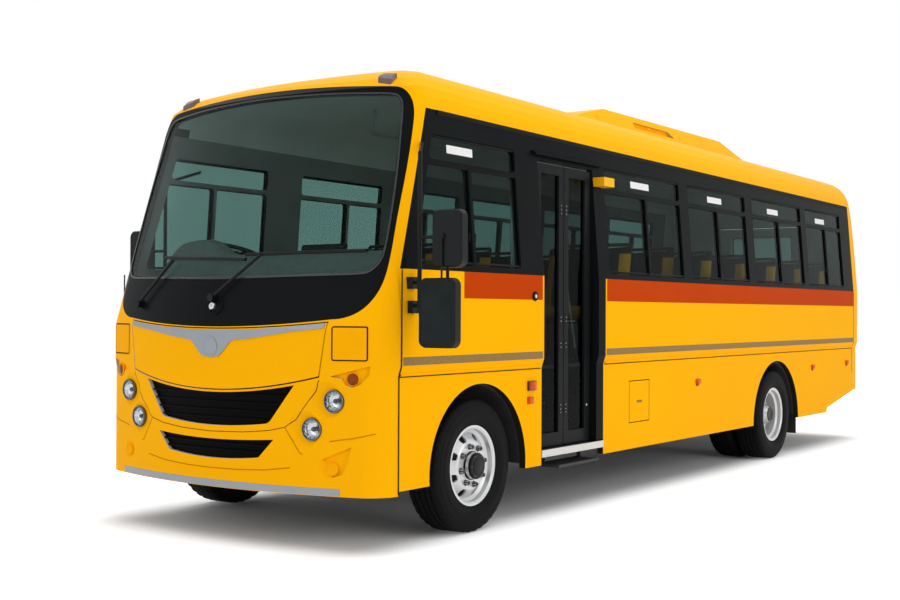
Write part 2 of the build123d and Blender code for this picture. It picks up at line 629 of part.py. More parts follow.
def chassis():
    rail = block(RAIL_INNER_X, RAIL_OUTER_X, FRONT_Y + 170, REAR_Y - 90, RAIL_BOTTOM_Z, RAIL_TOP_Z)
    parts["frame_rails"] = Compound([rail, mirrored(rail)])
    members = []
    for station in CROSS_MEMBERS:
        y = FRONT_SEAM_Y + station
        members.append(block(-RAIL_INNER_X, RAIL_INNER_X, y - 40, y + 40, RAIL_BOTTOM_Z + 70, RAIL_TOP_Z - 20))
    for station in OUTRIGGERS:
        y = FRONT_SEAM_Y + station
        outrigger = block(RAIL_OUTER_X, 1040, y - 30, y + 30, RAIL_TOP_Z - 60, FLOOR_BOTTOM_Z)
        members += [outrigger, mirrored(outrigger)]
    parts["frame_members"] = Compound(members)
    lugs = []
    for side in (1, -1):
        for y in (FRONT_Y + TOW_EYE_INSET, REAR_Y - TOW_EYE_INSET):
            x = side * TOW_EYE_X
            lug = block(x - 57, x + 57, y - 45, y + 45, TOW_EYE_Z - TOW_LUG_HALF, TOW_EYE_Z + TOW_LUG_HALF)
            for web in (x - 57, x + 45):
                lug = lug + block(web, web + 12, y - 45, y + 45, TOW_EYE_Z, RAIL_BOTTOM_Z)
            lug = lug + block(x - 57, x + 57, y - 45, y + 45, RAIL_BOTTOM_Z - 12, RAIL_BOTTOM_Z)
            lugs.append(lug - rod((x, y, TOW_EYE_Z - 30), (x, y, TOW_EYE_Z + 30), TOW_EYE_RADIUS))
    parts["tow_brackets"] = Compound(lugs)


def leaf_springs():
    springs = []
    # axle line, seat height, eye height, half length
    for axle_y, seat_z, eye_z, half_length in (
            (FRONT_AXLE_Y, 352, 540, 620), (REAR_AXLE_Y, 456, 535, 680)):
        lower = ThreePointArc((-half_length, eye_z), (0, seat_z), (half_length, eye_z))
        upper = ThreePointArc((half_length, eye_z + 40), (0, seat_z + 40), (-half_length, eye_z + 40))
        face = make_face(Curve() + [lower, Line((half_length, eye_z), (half_length, eye_z + 40)), upper,
                                    Line((-half_length, eye_z + 40), (-half_length, eye_z))])
        plane = Plane(origin=(335, axle_y, 0), x_dir=(0, 1, 0), z_dir=(1, 0, 0))
        spring = extrude(plane * face, amount=70)
        springs += [spring, mirrored(spring)]
    parts["leaf_springs"] = Compound(springs)


def front_axle():
    low = block(-620, 620, FRONT_AXLE_Y - 40, FRONT_AXLE_Y + 40, 270, 350)
    beam = low
    for side in (1, -1):
        neck = outline_y(make_face(Polyline(
            (side * 600, 270), (side * 600, 350), (side * 720, 440), (side * 800, 440), (side * 800, 344),
            (side * 728, 344), close=True)), FRONT_AXLE_Y - 38, FRONT_AXLE_Y + 38)
        beam = beam + neck
        beam = beam + rod((side * KINGPIN_X, FRONT_AXLE_Y, 344), (side * KINGPIN_X, FRONT_AXLE_Y, 440), 38)
        beam = beam + rod((side * KINGPIN_X, FRONT_AXLE_Y, 305), (side * KINGPIN_X, FRONT_AXLE_Y, 479), 18)
    parts["front_axle_beam"] = beam


SPINDLE_RADIUS = 35


def knuckles():
    knuckle = block(KINGPIN_X - 36, KINGPIN_X + 60, FRONT_AXLE_Y - 36, FRONT_AXLE_Y + 36, 446, 474)
    knuckle = knuckle + block(KINGPIN_X - 36, KINGPIN_X + 60, FRONT_AXLE_Y - 36, FRONT_AXLE_Y + 36, 310, 338)
    knuckle = knuckle + block(KINGPIN_X + 43, KINGPIN_X + 62, FRONT_AXLE_Y - 60, FRONT_AXLE_Y + 60, 310, 474)
    knuckle = knuckle - rod((KINGPIN_X, FRONT_AXLE_Y, 300), (KINGPIN_X, FRONT_AXLE_Y, 490), 19)
    knuckle = knuckle + disc_x(KINGPIN_X + 55, KINGPIN_X + 215, FRONT_AXLE_Y, AXLE_Z, SPINDLE_RADIUS)
    arm = block(KINGPIN_X - 60, KINGPIN_X - 26, FRONT_AXLE_Y - 20, FRONT_AXLE_Y + 190, 296, 320)
    knuckle = knuckle + arm
    parts["knuckle_left"] = knuckle
    parts["knuckle_right"] = mirrored(knuckle)


def tyre(x, y):
    # half of the tyre's outline: sideways from its middle, radius
    half = [(86, BEAD_RADIUS), (86, 239), (103, 239), (TYRE_HALF_WIDTH, 300), (110, 362), (88, TYRE_RADIUS)]
    profile = [(x + side, radius) for side, radius in half]
    profile = profile + [(x - side, radius) for side, radius in reversed(half)]
    return ring_about_x(profile, y, AXLE_Z)


def rim(x, y):
    # the rim's outline, sideways from the tyre's middle: its outer face, then its inner face
    outer = [(-98, 236), (-88, 236), (-86, 223), (-45, 221), (-32, 200), (45, 200), (58, 221), (86, 223),
             (88, 236), (98, 236)]
    inner = [(98, 222), (90, 213), (60, 212), (47, 192), (-34, 192), (-48, 212), (-90, 213), (-98, 222)]
    return ring_about_x([(x + side, radius) for side, radius in outer + inner], y, AXLE_Z)


HAND_HOLES = 8
HAND_HOLE_CIRCLE = 168
NUT_CIRCLE = 114


def pierced(disc, y, radius, hole, count, turn=0):
    for index in range(count):
        angle = 2 * math.pi * (index + turn) / count
        hole_y = y + radius * math.cos(angle)
        hole_z = AXLE_Z + radius * math.sin(angle)
        disc = disc - disc_x(300, 1300, hole_y, hole_z, hole)
    return disc


def with_nuts(wheel, face_x, y):
    for index in range(8):
        angle = 2 * math.pi * (index + 0.25) / 8
        nut_y = y + NUT_CIRCLE * math.cos(angle)
        nut_z = AXLE_Z + NUT_CIRCLE * math.sin(angle)
        wheel = wheel + disc_x(face_x - 2, face_x + 24, nut_y, nut_z, 14)
    return wheel


def front_wheel():
    y = FRONT_AXLE_Y
    x = FRONT_TYRE_X
    face_x = x + 88
    disc = ring_about_x([(x + 40, 196), (face_x - 6, 150), (face_x, 138), (face_x, 60), (face_x - 10, 60),
                         (face_x - 10, 134), (face_x - 16, 145), (x + 26, 196)], y, AXLE_Z)
    disc = pierced(disc, y, HAND_HOLE_CIRCLE, 24, HAND_HOLES, 0.5)
    drum = ring_about_x([(face_x - 9, 150), (face_x - 9, SPINDLE_RADIUS + 0.3), (x - 60, SPINDLE_RADIUS + 0.3),
                         (x - 60, 70), (face_x - 60, 75), (face_x - 60, 135), (x - 60, 140), (x - 60, 152)],
                        y, AXLE_Z)
    drum = drum & disc_x(x - 70, x + 95, y, AXLE_Z, 149)
    cap = ring_about_x([(face_x - 9, 83), (face_x + 38, 76), (face_x + 44, 60), (face_x + 44, 0),
                        (face_x + 12, 0), (face_x + 12, SPINDLE_RADIUS + 5), (face_x - 9, SPINDLE_RADIUS + 5)],
                       y, AXLE_Z)
    wheel = rim(x, y) + disc + drum + cap
    return with_nuts(wheel, face_x, y)


def rear_wheel():
    y = REAR_AXLE_Y
    face = REAR_HUB_FACE_X
    wheel = rim(REAR_OUTER_TYRE_X, y) + rim(REAR_INNER_TYRE_X, y)
    outer_disc = ring_about_x([(face + 116, 198), (face + 14, 150), (face + 12, 60), (face, 60), (face, 152),
                               (face + 102, 198)], y, AXLE_Z)
    inner_disc = ring_about_x([(face - 116, 198), (face - 14, 150), (face - 12, 60), (face, 60), (face, 152),
                               (face - 102, 198)], y, AXLE_Z)
    discs = pierced(outer_disc + inner_disc, y, HAND_HOLE_CIRCLE, 20, HAND_HOLES, 0.5)
    hub = ring_about_x([(face - 160, 140), (face - 160, 72), (face + 150, 72), (face + 185, 60), (face + 195, 0),
                        (face + 205, 0), (face + 205, 62), (face + 160, 83), (face, 83), (face, 105),
                        (face - 30, 140)], y, AXLE_Z)
    return with_nuts(wheel + discs + hub, face + 12, y)


def rear_axle():
    axle = rod((-(REAR_HUB_FACE_X + 120), REAR_AXLE_Y, AXLE_Z), (REAR_HUB_FACE_X + 120, REAR_AXLE_Y, AXLE_Z), 58)
    axle = axle + Pos(0, REAR_AXLE_Y, AXLE_Z) * Sphere(160)
    axle = axle + rod((0, REAR_AXLE_Y, AXLE_Z + 10), (0, REAR_AXLE_Y - 260, AXLE_Z + 20), 70)
    axle = axle + rod((0, ENGINE_REAR_Y + 425, 590), (0, REAR_AXLE_Y - 250, AXLE_Z + 20), 42)
    parts["rear_axle"] = axle


def wheels():
    left_wheel = front_wheel()
    left_tyre = tyre(FRONT_TYRE_X, FRONT_AXLE_Y)
    rear_left = rear_wheel()
    outer_tyre = tyre(REAR_OUTER_TYRE_X, REAR_AXLE_Y)
    inner_tyre = tyre(REAR_INNER_TYRE_X, REAR_AXLE_Y)
    for side, turn in (("left", lambda shape: shape), ("right", mirrored)):
        parts["wheel_front_" + side] = turn(left_wheel)
        parts["tyre_front_" + side] = turn(left_tyre)
        parts["wheel_rear_" + side] = turn(rear_left)
        parts["tyres_rear_" + side] = Compound([turn(outer_tyre), turn(inner_tyre)])


def arch_liner(axle_y, arch_z, radius, lip, inner_x):
    """The curved sheet over a wheel, with the lip that is screwed behind the side panel."""
    wall_x = SKIRT_HALF_WIDTH - WALL
    profile = [(inner_x, radius - 4), (inner_x, radius), (wall_x - 4, radius), (wall_x - 4, lip), (wall_x, lip),
               (wall_x, radius - 4)]
    plane = Plane(origin=(0, axle_y, arch_z), x_dir=(1, 0, 0), z_dir=(0, -1, 0))
    ring = revolve(plane * make_face(Polyline(*profile, close=True)), Axis((0, axle_y, arch_z), (1, 0, 0)), 360)
    return ring & block(0, 2000, -BIG, BIG, SKIRT_Z + 30, FLOOR_BOTTOM_Z + 40)


def under_body():
    parts["fuel_tank"] = block(-960, -482, -1500, -600, 400, 712)
    flap = block(590, 1045, REAR_AXLE_Y + 622, REAR_AXLE_Y + 630, 175, RAIL_TOP_Z - 20)
    front = arch_liner(FRONT_AXLE_Y, FRONT_ARCH_Z, FRONT_ARCH_RADIUS - 4, FRONT_ARCH_RADIUS + 16, 700)
    rear = arch_liner(REAR_AXLE_Y, REAR_ARCH_Z, REAR_ARCH_RADIUS - 16, REAR_ARCH_RADIUS + 16, 560)
    guards = [flap, front, rear]
    parts["wheel_guards"] = Compound(guards + [mirrored(guard) for guard in guards])
    front_pipe = rod((-190, -2700, 540), (-440, -2700, 540), 30) + rod((-440, -2725, 540), (-440, -300, 540), 30)
    silencer = rod((-500, -320, 560), (-500, 420, 560), 90)
    tail = rod((-500, 400, 560), (-500, 3960, 560), 32)
    exhaust = front_pipe + silencer + tail
    for station in (4200, 6900, 7500):
        y = FRONT_SEAM_Y + station
        exhaust = exhaust + block(-512, -488, y - 8, y + 8, 570, RAIL_TOP_Z - 60)
    parts["exhaust"] = exhaust


# ---- cabin --------------------------------------------------------------------------------
def seat(x0, x1, y):
    """One bench facing forwards, whose back rest stands at y."""
    cushion = block(x0, x1, y - 430, y, SEAT_CUSHION_Z - 90, SEAT_CUSHION_Z)
    back = outline_x([(y - 40, SEAT_CUSHION_Z - 60), (y + 20, SEAT_CUSHION_Z - 60), (y + 110, SEAT_TOP_Z),
                      (y + 50, SEAT_TOP_Z)], x0, x1)
    legs = [block(x, x + 30, y - 300, y - 100, FLOOR_Z, SEAT_CUSHION_Z - 85) for x in (x0 + 40, x1 - 70)]
    bench = cushion + back
    for leg in legs:
        bench = bench + leg
    return bench


def seats():
    benches = [seat(SEAT_INNER_X, SEAT_OUTER_X, -950 + SEAT_PITCH * row) for row in range(7)]
    benches += [mirrored(seat(SEAT_INNER_X, SEAT_OUTER_X, -1670 + SEAT_PITCH * row)) for row in range(8)]
    parts["seats"] = Compound(benches)
    parts["driver_seat"] = mirrored(seat(430, 900, -2480))


WHEEL_CENTRE = (-650, -3290, 1640)
COLUMN_FOOT = (-650, -3560, FLOOR_Z + 20)


def controls():
    top = Vector(*WHEEL_CENTRE)
    foot = Vector(*COLUMN_FOOT)
    along = (top - foot).normalized()
    plane = Plane(origin=top, z_dir=along)
    ring = plane * Torus(215, 14)
    hub = plane * Cylinder(40, 40)
    wheel = ring + hub
    for angle in (0, 120, 240):
        spoke = plane * Rot(0, 0, angle) * Pos(110, 0, 0) * Box(200, 26, 12)
        wheel = wheel + spoke
    parts["steering_wheel"] = wheel
    column = rod(COLUMN_FOOT, tuple(top - along * 26), 32)
    dash = block(-1000, 1000, -3900, -3560, 1120, 1440) & body_solid(WALL + 8)
    dash = dash - rod(tuple(foot - along * 50), tuple(top), 60)
    dash = dash - block(-ENGINE_HALF_X - 106, ENGINE_HALF_X + 106, ENGINE_FRONT_Y - 86, -3000, 0, 1296)
    parts["steering_column"] = column
    parts["dashboard"] = dash


# ---- mirrors and wipers -------------------------------------------------------------------
MIRROR_TUBE_X = 1188
MIRROR_TUBE_Y = FRONT_SEAM_Y + 60
# mirror heads: nearest and farthest x, bottom, top
UPPER_HEAD = (1300, 1492, 1526, 1830)
LOWER_HEAD = (1216, 1450, 1102, 1472)


def mirror_head(near, far, bottom, top):
    """A rounded mirror box that stands across the bus."""
    plane = Plane(origin=(0, MIRROR_TUBE_Y - 46, 0), x_dir=(1, 0, 0), z_dir=(0, -1, 0))
    outline = Pos((near + far) / 2, (bottom + top) / 2) * RectangleRounded(far - near, top - bottom, 42)
    shell = extrude(plane * outline, amount=-58)
    return chamfer(shell.faces().sort_by(Axis.Y)[0].edges(), 8)


def mirrors():
    y = MIRROR_TUBE_Y
    whole = rod((MIRROR_TUBE_X, y, 1290), (MIRROR_TUBE_X, y, 2150), 12)
    pieces = [
        rod((1100, y + 20, 1318), (MIRROR_TUBE_X, y, 1330), 10),
        rod((1100, y + 20, 1448), (MIRROR_TUBE_X, y, 1452), 10),
        rod((1050, y + 200, 2230), (MIRROR_TUBE_X, y, 2145), 10),
        rod((MIRROR_TUBE_X, y, 1398), (1240, y, 1398), 8),
        rod((MIRROR_TUBE_X, y, 1310), (1240, y, 1210), 7),
        rod((MIRROR_TUBE_X, y, 1690), (1340, y, 1690), 9),
        rod((1372, y, 1460), (1372, y, 1540), 9),
        block(1105, 1150, y - 10, y + 50, 1284, 1352),
        block(1105, 1150, y - 10, y + 50, 1416, 1480),
        mirror_head(*UPPER_HEAD),
        mirror_head(*LOWER_HEAD),
    ]
    for piece in pieces:
        whole = whole + piece
    left = whole - OUTER
    right = Pos(0, 340, 0) * mirrored(whole) - OUTER
    parts["mirrors"] = Compound(left.solids() + right.solids())


# wipers: pivot (x, z), where the arm meets the blade, the blade's two ends
WIPERS = [((-724, 1335), (-454, 1592), (-560, 1612), (170, 1585)),
          ((-20, 1370), (276, 1608), (165, 1612), (930, 1622))]
WIPER_STANDOFF = 30


def wipers():
    whole = []
    for pivot, joint, start, end in WIPERS:
        def at(point, standoff=WIPER_STANDOFF):
            return (point[0], front_surface_y(*point) - standoff, point[1])

        middle = ((start[0] + end[0]) / 2, (start[1] + end[1]) / 2)
        wiper = rod(at(pivot, -15), at(pivot, 44), 22) + rod(at(pivot), at(joint), 9)
        wiper = wiper + rod(at(start, 22), at(middle, 22), 10) + rod(at(middle, 22), at(end, 22), 10)
        whole += (wiper - OUTER).solids()
    parts["wipers"] = Compound(whole)


side_panels()
window_bands()
front_end()
front_lamps()
grilles()
rear_end()
rear_lamps()
roof()
entrance()
floor()
chassis()
leaf_springs()
front_axle()
knuckles()
rear_axle()
wheels()
under_body()
seats()
controls()
mirrors()
wipers()

os.makedirs("parts", exist_ok=True)
for name, shape in parts.items():
    export_step(shape, "parts/" + name + ".step")
print(len(parts), "nodes")
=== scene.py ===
import bpy
import math
from mathutils import Matrix, Vector


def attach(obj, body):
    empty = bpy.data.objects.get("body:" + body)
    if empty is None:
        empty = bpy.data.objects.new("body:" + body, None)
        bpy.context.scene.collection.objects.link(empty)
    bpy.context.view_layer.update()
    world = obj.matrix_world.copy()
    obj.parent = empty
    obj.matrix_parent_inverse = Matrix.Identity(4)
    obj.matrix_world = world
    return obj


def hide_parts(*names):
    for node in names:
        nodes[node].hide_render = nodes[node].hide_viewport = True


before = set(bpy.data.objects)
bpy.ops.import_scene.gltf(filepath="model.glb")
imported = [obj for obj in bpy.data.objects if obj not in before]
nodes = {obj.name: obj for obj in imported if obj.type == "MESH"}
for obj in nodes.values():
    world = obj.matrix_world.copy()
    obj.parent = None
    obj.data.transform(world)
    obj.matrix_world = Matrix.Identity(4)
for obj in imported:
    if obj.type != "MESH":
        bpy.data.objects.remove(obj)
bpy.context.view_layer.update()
bpy.ops.object.select_all(action="DESELECT")

# ---- Camera ----
# A portrait of the whole bus from its front left corner, at a person's waist height.
# The lens looks level along the bus's diagonal from about nine metres off.
CAMERA_PLACE = (5.198, -9.110, 1.291)
CAMERA_YAW, CAMERA_PITCH, CAMERA_ROLL = math.radians(35.456), math.radians(0.563), math.radians(0.253)
bpy.ops.object.camera_add(location=CAMERA_PLACE)
camera = bpy.context.object
camera.name = "camera"
camera.data.lens = 50.02
camera.data.sensor_width = 36
turned_up = Matrix.Rotation(math.pi / 2 + CAMERA_PITCH, 4, "X") @ Matrix.Rotation(CAMERA_ROLL, 4, "Z")
camera.matrix_world = Matrix.Translation(CAMERA_PLACE) @ Matrix.Rotation(CAMERA_YAW, 4, "Z") @ turned_up
bpy.context.scene.camera = camera

# ---- Studio ----
# A white floor in an evenly lit white room, with broad soft lights above, beside and before the bus.
# The floor keeps the bus's shadow, and more is painted in: its glow is held back over a box round the bus's
# footprint and rises just outside it, a painted shadow under and beside the bus; farther off the glow lets
# the floor meet the wall unseen.
def feed(tree, node, inputs):
    """Sets a node's inputs, each to a value or linked to the (node, output) or socket that drives it."""
    for label, value in inputs.items():
        if isinstance(value, tuple) and isinstance(value[0], bpy.types.Node):
            value = value[0].outputs[value[1]]
        if isinstance(value, bpy.types.NodeSocket):
            tree.links.new(value, node.inputs[label])
        else:
            node.inputs[label].default_value = value


def add(tree, kind, inputs=None, **settings):
    """A new shader node with its settings and its inputs."""
    node = tree.nodes.new("ShaderNode" + kind)
    for label, value in settings.items():
        setattr(node, label, value)
    feed(tree, node, inputs or {})
    return node


def calculated(tree, operation, *terms):
    """The result of one sum on numbers or outputs."""
    return add(tree, "Math", dict(enumerate(terms)), operation=operation), "Value"


def vectors(tree, operation, *terms):
    """The result of one vector sum on vectors or outputs."""
    result = "Value" if operation in ("LENGTH", "DOT_PRODUCT") else "Vector"
    return add(tree, "VectorMath", dict(enumerate(terms)), operation=operation), result


def seen_directly(tree):
    """One for the rays that show a surface to the camera, straight on, mirrored or through glass."""
    path = add(tree, "LightPath")
    plain = calculated(tree, "MAXIMUM", (path, "Is Camera Ray"), (path, "Is Transmission Ray"))
    return calculated(tree, "MAXIMUM", plain, (path, "Is Glossy Ray"))


bpy.context.scene.view_settings.view_transform = "Standard"
room = bpy.data.worlds.new("white room")
bpy.context.scene.world = room
room.use_nodes = True
tree = room.node_tree
tree.nodes.clear()
room_light = add(tree, "Background", {"Color": (1, 1, 1, 1), "Strength": 0.74})
room_seen = add(tree, "Background", {"Color": (1, 1, 1, 1), "Strength": 1.0})
room_mix = add(tree, "MixShader", {"Fac": seen_directly(tree), 1: (room_light, "Background"),
    2: (room_seen, "Background")})
add(tree, "OutputWorld", {"Surface": (room_mix, "Shader")})


def soft_light(name, place, target, width, depth, power):
    """A rectangular studio light that faces a point."""
    bpy.ops.object.light_add(type="AREA", location=place)
    light = bpy.context.object
    light.name = name
    light.data.shape = "RECTANGLE"
    light.data.size = width
    light.data.size_y = depth
    light.data.energy = power
    light.rotation_euler = (Vector(target) - Vector(place)).to_track_quat("-Z", "Y").to_euler()


soft_light("overhead light", (1.0, -1.0, 9.5), (0, 0, 1), 8, 12, 380)
soft_light("side light", (11, -1.0, 4.5), (1, 0, 1.2), 10, 4, 225)
soft_light("front light", (-1.5, -12.5, 4.5), (0, -4, 1.2), 7, 4, 95)
bpy.ops.object.select_all(action="DESELECT")

# the half sizes of the box round the bus where the floor's glow is held back: a painted shadow
FLOOR_PAINTED_SHADOW_BOX = (0.8, 3.85, 0)
FLOOR_GLOW = 0.5
bpy.ops.mesh.primitive_plane_add(size=240, location=(0, 0, 0))
studio_floor = bpy.context.object
studio_floor.name = "studio_floor"
studio_floor.select_set(False)
floor_white = bpy.data.materials.new("studio floor white")
floor_white.use_nodes = True
tree = floor_white.node_tree
size = vectors(tree, "ABSOLUTE", (add(tree, "TexCoord"), "Object"))
outside = vectors(tree, "MAXIMUM", vectors(tree, "SUBTRACT", size, FLOOR_PAINTED_SHADOW_BOX))
rise = add(tree, "MapRange", {"Value": vectors(tree, "LENGTH", outside), "From Min": 0.0, "From Max": 0.55,
    "To Min": 0.0, "To Max": FLOOR_GLOW}, interpolation_type="SMOOTHSTEP")
glow = calculated(tree, "MULTIPLY", seen_directly(tree), (rise, "Result"))
feed(tree, tree.nodes["Principled BSDF"], {"Base Color": (0.93, 0.93, 0.93, 1), "Roughness": 0.85,
    "Specular IOR Level": 0.1, "Emission Strength": 1.0, "Emission Color": glow})
studio_floor.data.materials.append(floor_white)


# ---- Body sides ----
# Each side is a pressed steel wall on a welded frame, with a rolled rub rail under the windows' sill.
# It is sprayed bus yellow with an orange band along it, and lined inside with a grey board, painted darker
# than the roof's lining as painted shade.
def new_group(name, numbers, results):
    """An empty shader node group with named inputs and outputs."""
    group = bpy.data.node_groups.new(name, "ShaderNodeTree")
    for label, kind, value in numbers:
        socket = group.interface.new_socket(label, in_out="INPUT", socket_type="NodeSocket" + kind)
        socket.default_value = value
    for label, kind in results:
        group.interface.new_socket(label, in_out="OUTPUT", socket_type="NodeSocket" + kind)
    return group, group.nodes.new("NodeGroupInput"), group.nodes.new("NodeGroupOutput")


# a surface's cloudy tone, gloss and fine grain
surface, given, result = new_group("surface", [("Colour", "Color", (0.5, 0.5, 0.5, 1)),
    ("Scale", "Float", 6.0), ("Tone", "Float", 0.05), ("Roughness", "Float", 0.4),
    ("Roughness change", "Float", 0.08), ("Grain scale", "Float", 400.0)],
    [("Colour", "Color"), ("Roughness", "Float"), ("Height", "Float")])
place = add(surface, "TexCoord"), "Object"
cloud = add(surface, "TexNoise", {"Vector": place, "Scale": (given, "Scale"), "Detail": 5}), "Fac"
grain = add(surface, "TexNoise", {"Vector": place, "Scale": (given, "Grain scale"), "Detail": 2}), "Fac"
least = calculated(surface, "SUBTRACT", 1, (given, "Tone"))
shade = add(surface, "MapRange", {"Value": cloud, "From Min": 0.3, "From Max": 0.7, "To Min": least})
tint = add(surface, "VectorMath", {0: (given, "Colour"), "Scale": (shade, "Result")}, operation="SCALE")
gloss = calculated(surface, "MULTIPLY_ADD", cloud, (given, "Roughness change"), (given, "Roughness"))
feed(surface, result, {"Colour": (tint, "Vector"), "Roughness": gloss, "Height": grain})

# the part of a surface that lies between two heights and two places along the bus
stretch, given, result = new_group("stretch", [("Bottom", "Float", 0.0), ("Top", "Float", 1.0),
    ("Front", "Float", -9.0), ("Rear", "Float", 9.0)], [("Mask", "Float")])
parts = add(stretch, "SeparateXYZ", {"Vector": (add(stretch, "TexCoord"), "Object")})
mask = 1.0
for direction, sense, limit in (("Z", "GREATER_THAN", "Bottom"), ("Z", "LESS_THAN", "Top"),
        ("Y", "GREATER_THAN", "Front"), ("Y", "LESS_THAN", "Rear")):
    mask = calculated(stretch, "MULTIPLY", mask, calculated(stretch, sense, (parts, direction),
        (given, limit)))
feed(stretch, result, {"Mask": mask})

# the faces of a body panel that look into the bus, told by the directions that count
CABIN_MIDDLE = (0, 0, 1.5)
cabin_face, given, result = new_group("cabin face",
    [("Directions", "Vector", (1, 1, 1)), ("Limit", "Float", 0.0)], [("Mask", "Float")])
place = add(cabin_face, "TexCoord")
outwards = vectors(cabin_face, "SUBTRACT", (place, "Object"), CABIN_MIDDLE)
counted = vectors(cabin_face, "MULTIPLY", outwards, (given, "Directions"))
facing = vectors(cabin_face, "DOT_PRODUCT", counted, (place, "Normal"))
feed(cabin_face, result, {"Mask": calculated(cabin_face, "LESS_THAN", facing, (given, "Limit"))})

# the cut edges of a skirt panel, round its arches and openings: they lie low and hardly face sideways, and
# are painted near black, underseal on the arches and painted shade in the openings' shut lines
SKIRT_TOP, EDGE_TURN = 0.94, 0.5
shaded_cut_edge, given, result = new_group("cut edge", [], [("Mask", "Float")])
place = add(shaded_cut_edge, "TexCoord")
turn = add(shaded_cut_edge, "SeparateXYZ", {"Vector": (place, "Normal")})
height = add(shaded_cut_edge, "SeparateXYZ", {"Vector": (place, "Object")})
flat = calculated(shaded_cut_edge, "LESS_THAN", calculated(shaded_cut_edge, "ABSOLUTE", (turn, "X")), EDGE_TURN)
low = calculated(shaded_cut_edge, "LESS_THAN", (height, "Z"), SKIRT_TOP)
feed(shaded_cut_edge, result, {"Mask": calculated(shaded_cut_edge, "MULTIPLY", flat, low)})
slot_of = {}


def finish(name, colour, roughness, metallic=0.0, coat=0.0, tone=0.05, scale=3.0, grain=400.0, bump=0.02,
        change=0.06, specular=0.5, slot="black_plastic"):
    """A material whose colour, gloss and fine relief vary as the real surface's do, with its slot noted."""
    material = bpy.data.materials.new(name)
    material.use_nodes = True
    slot_of[material.name] = slot
    tree = material.node_tree
    texture = add(tree, "Group", {"Colour": (*colour, 1), "Scale": scale, "Tone": tone,
        "Roughness": roughness, "Roughness change": change, "Grain scale": grain}, node_tree=surface)
    texture.name = "texture"
    relief = add(tree, "Bump", {"Strength": bump, "Distance": 0.001, "Height": (texture, "Height")})
    feed(tree, tree.nodes["Principled BSDF"], {"Metallic": metallic, "Coat Weight": coat,
        "Coat Roughness": 0.06, "Specular IOR Level": specular, "Base Color": (texture, "Colour"),
        "Roughness": (texture, "Roughness"), "Normal": (relief, "Normal")})
    return material


def painted_over(material, group, colour, tone=0.05, scale=3.0, **limits):
    """Lays a second colour over a finish wherever a group's mask is on."""
    tree = material.node_tree
    shader = tree.nodes["Principled BSDF"]
    under = shader.inputs["Base Color"].links[0].from_socket
    mask = add(tree, "Group", limits, node_tree=group)
    coat = add(tree, "Group", {"Colour": (*colour, 1), "Tone": tone, "Scale": scale}, node_tree=surface)
    mix = add(tree, "Mix", {"Factor": (mask, "Mask"), 6: under, 7: (coat, "Colour")}, data_type="RGBA")
    feed(tree, shader, {"Base Color": (mix, 2)})


def dress(material, *names):
    """Gives the named parts of the frame their finish."""
    for name in names:
        for slot in nodes[name].material_slots:
            slot.material = material


BUS_YELLOW = (1.0, 0.46, 0.0015)
# the walls' inner lining, painted darker than the roof's: painted shade
SHADED_LINING_GREY = (0.27, 0.28, 0.275)
UNDERSEAL_AND_SHADE_BLACK = (0.018, 0.018, 0.018)
BAND_ORANGE = (0.52, 0.054, 0.003)
BODY_PAINT = {"tone": 0.03, "scale": 1.2, "bump": 0.01, "specular": 0.006, "slot": "yellow_paint"}
WALLS_ONLY = {"Directions": (1, 0, 0), "Limit": -0.35}
side_paint = finish("side paint", BUS_YELLOW, 0.34, **BODY_PAINT)
far_side_paint = finish("far side paint", BUS_YELLOW, 0.34, **BODY_PAINT)
for paint, bands in ((side_paint, ((-3.237, -2.372), (-1.528, 3.79))), (far_side_paint, ((-3.237, 3.79),))):
    for band_start, band_end in bands:
        painted_over(paint, stretch, BAND_ORANGE, Bottom=1.371, Top=1.53, Front=band_start, Rear=band_end)
    painted_over(paint, cabin_face, SHADED_LINING_GREY, tone=0.1, **WALLS_ONLY)
    # the low cut edges in near black: underseal, with painted shade in the hatch and door openings
    painted_over(paint, shaded_cut_edge, UNDERSEAL_AND_SHADE_BLACK, tone=0.2)
dress(side_paint, "side_left", "skirt_hatch")
dress(far_side_paint, "side_right")


def press(piece, kind, **settings):
    """Adds a modifier to the active piece and applies it."""
    modifier = piece.modifiers.new(kind.lower(), kind)
    for label, value in settings.items():
        setattr(modifier, label, value)
    bpy.ops.object.modifier_apply(modifier=modifier.name)


def complete(piece, name, material, body="bus_body", smooth=35, slot=None):
    """Names a finished piece, fixes its place in its mesh, smooths it and gives it its finish and body."""
    bpy.ops.object.transform_apply(location=True, rotation=True, scale=True)
    if smooth:
        bpy.ops.object.shade_smooth_by_angle(angle=math.radians(smooth))
    piece.name = name
    piece.data.name = name
    if material:
        piece.data.materials.clear()
        piece.data.materials.append(material)
    slot = slot or slot_of[material.name]
    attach(piece, body)
    piece.select_set(False)
    return piece


def crossing(share, low, high):
    """A point between two values."""
    return low + (high - low) * share


def pressed_on(piece, target, thickness):
    """Presses a flat outline along the bus on to a panel, where one is named, and thickens it."""
    if target:
        press(piece, "SHRINKWRAP", target=nodes[target], wrap_method="PROJECT", wrap_mode="ABOVE_SURFACE",
            use_project_y=True, use_positive_direction=True, use_negative_direction=True, offset=0.0004)
    press(piece, "SOLIDIFY", thickness=thickness, offset=1.0)


def laid_strip(name, columns, rows, place, target, thickness, material, body="bus_body", slot=None):
    """A thin strip: a flat grid drawn to its outline, pressed on to its panel and thickened."""
    bpy.ops.mesh.primitive_grid_add(x_subdivisions=columns, y_subdivisions=rows, size=2)
    strip = bpy.context.object
    for vertex in strip.data.vertices:
        vertex.co = place((vertex.co.x + 1) / 2, (vertex.co.y + 1) / 2)
    pressed_on(strip, target, thickness)
    return complete(strip, name, material, body, smooth=40, slot=slot)


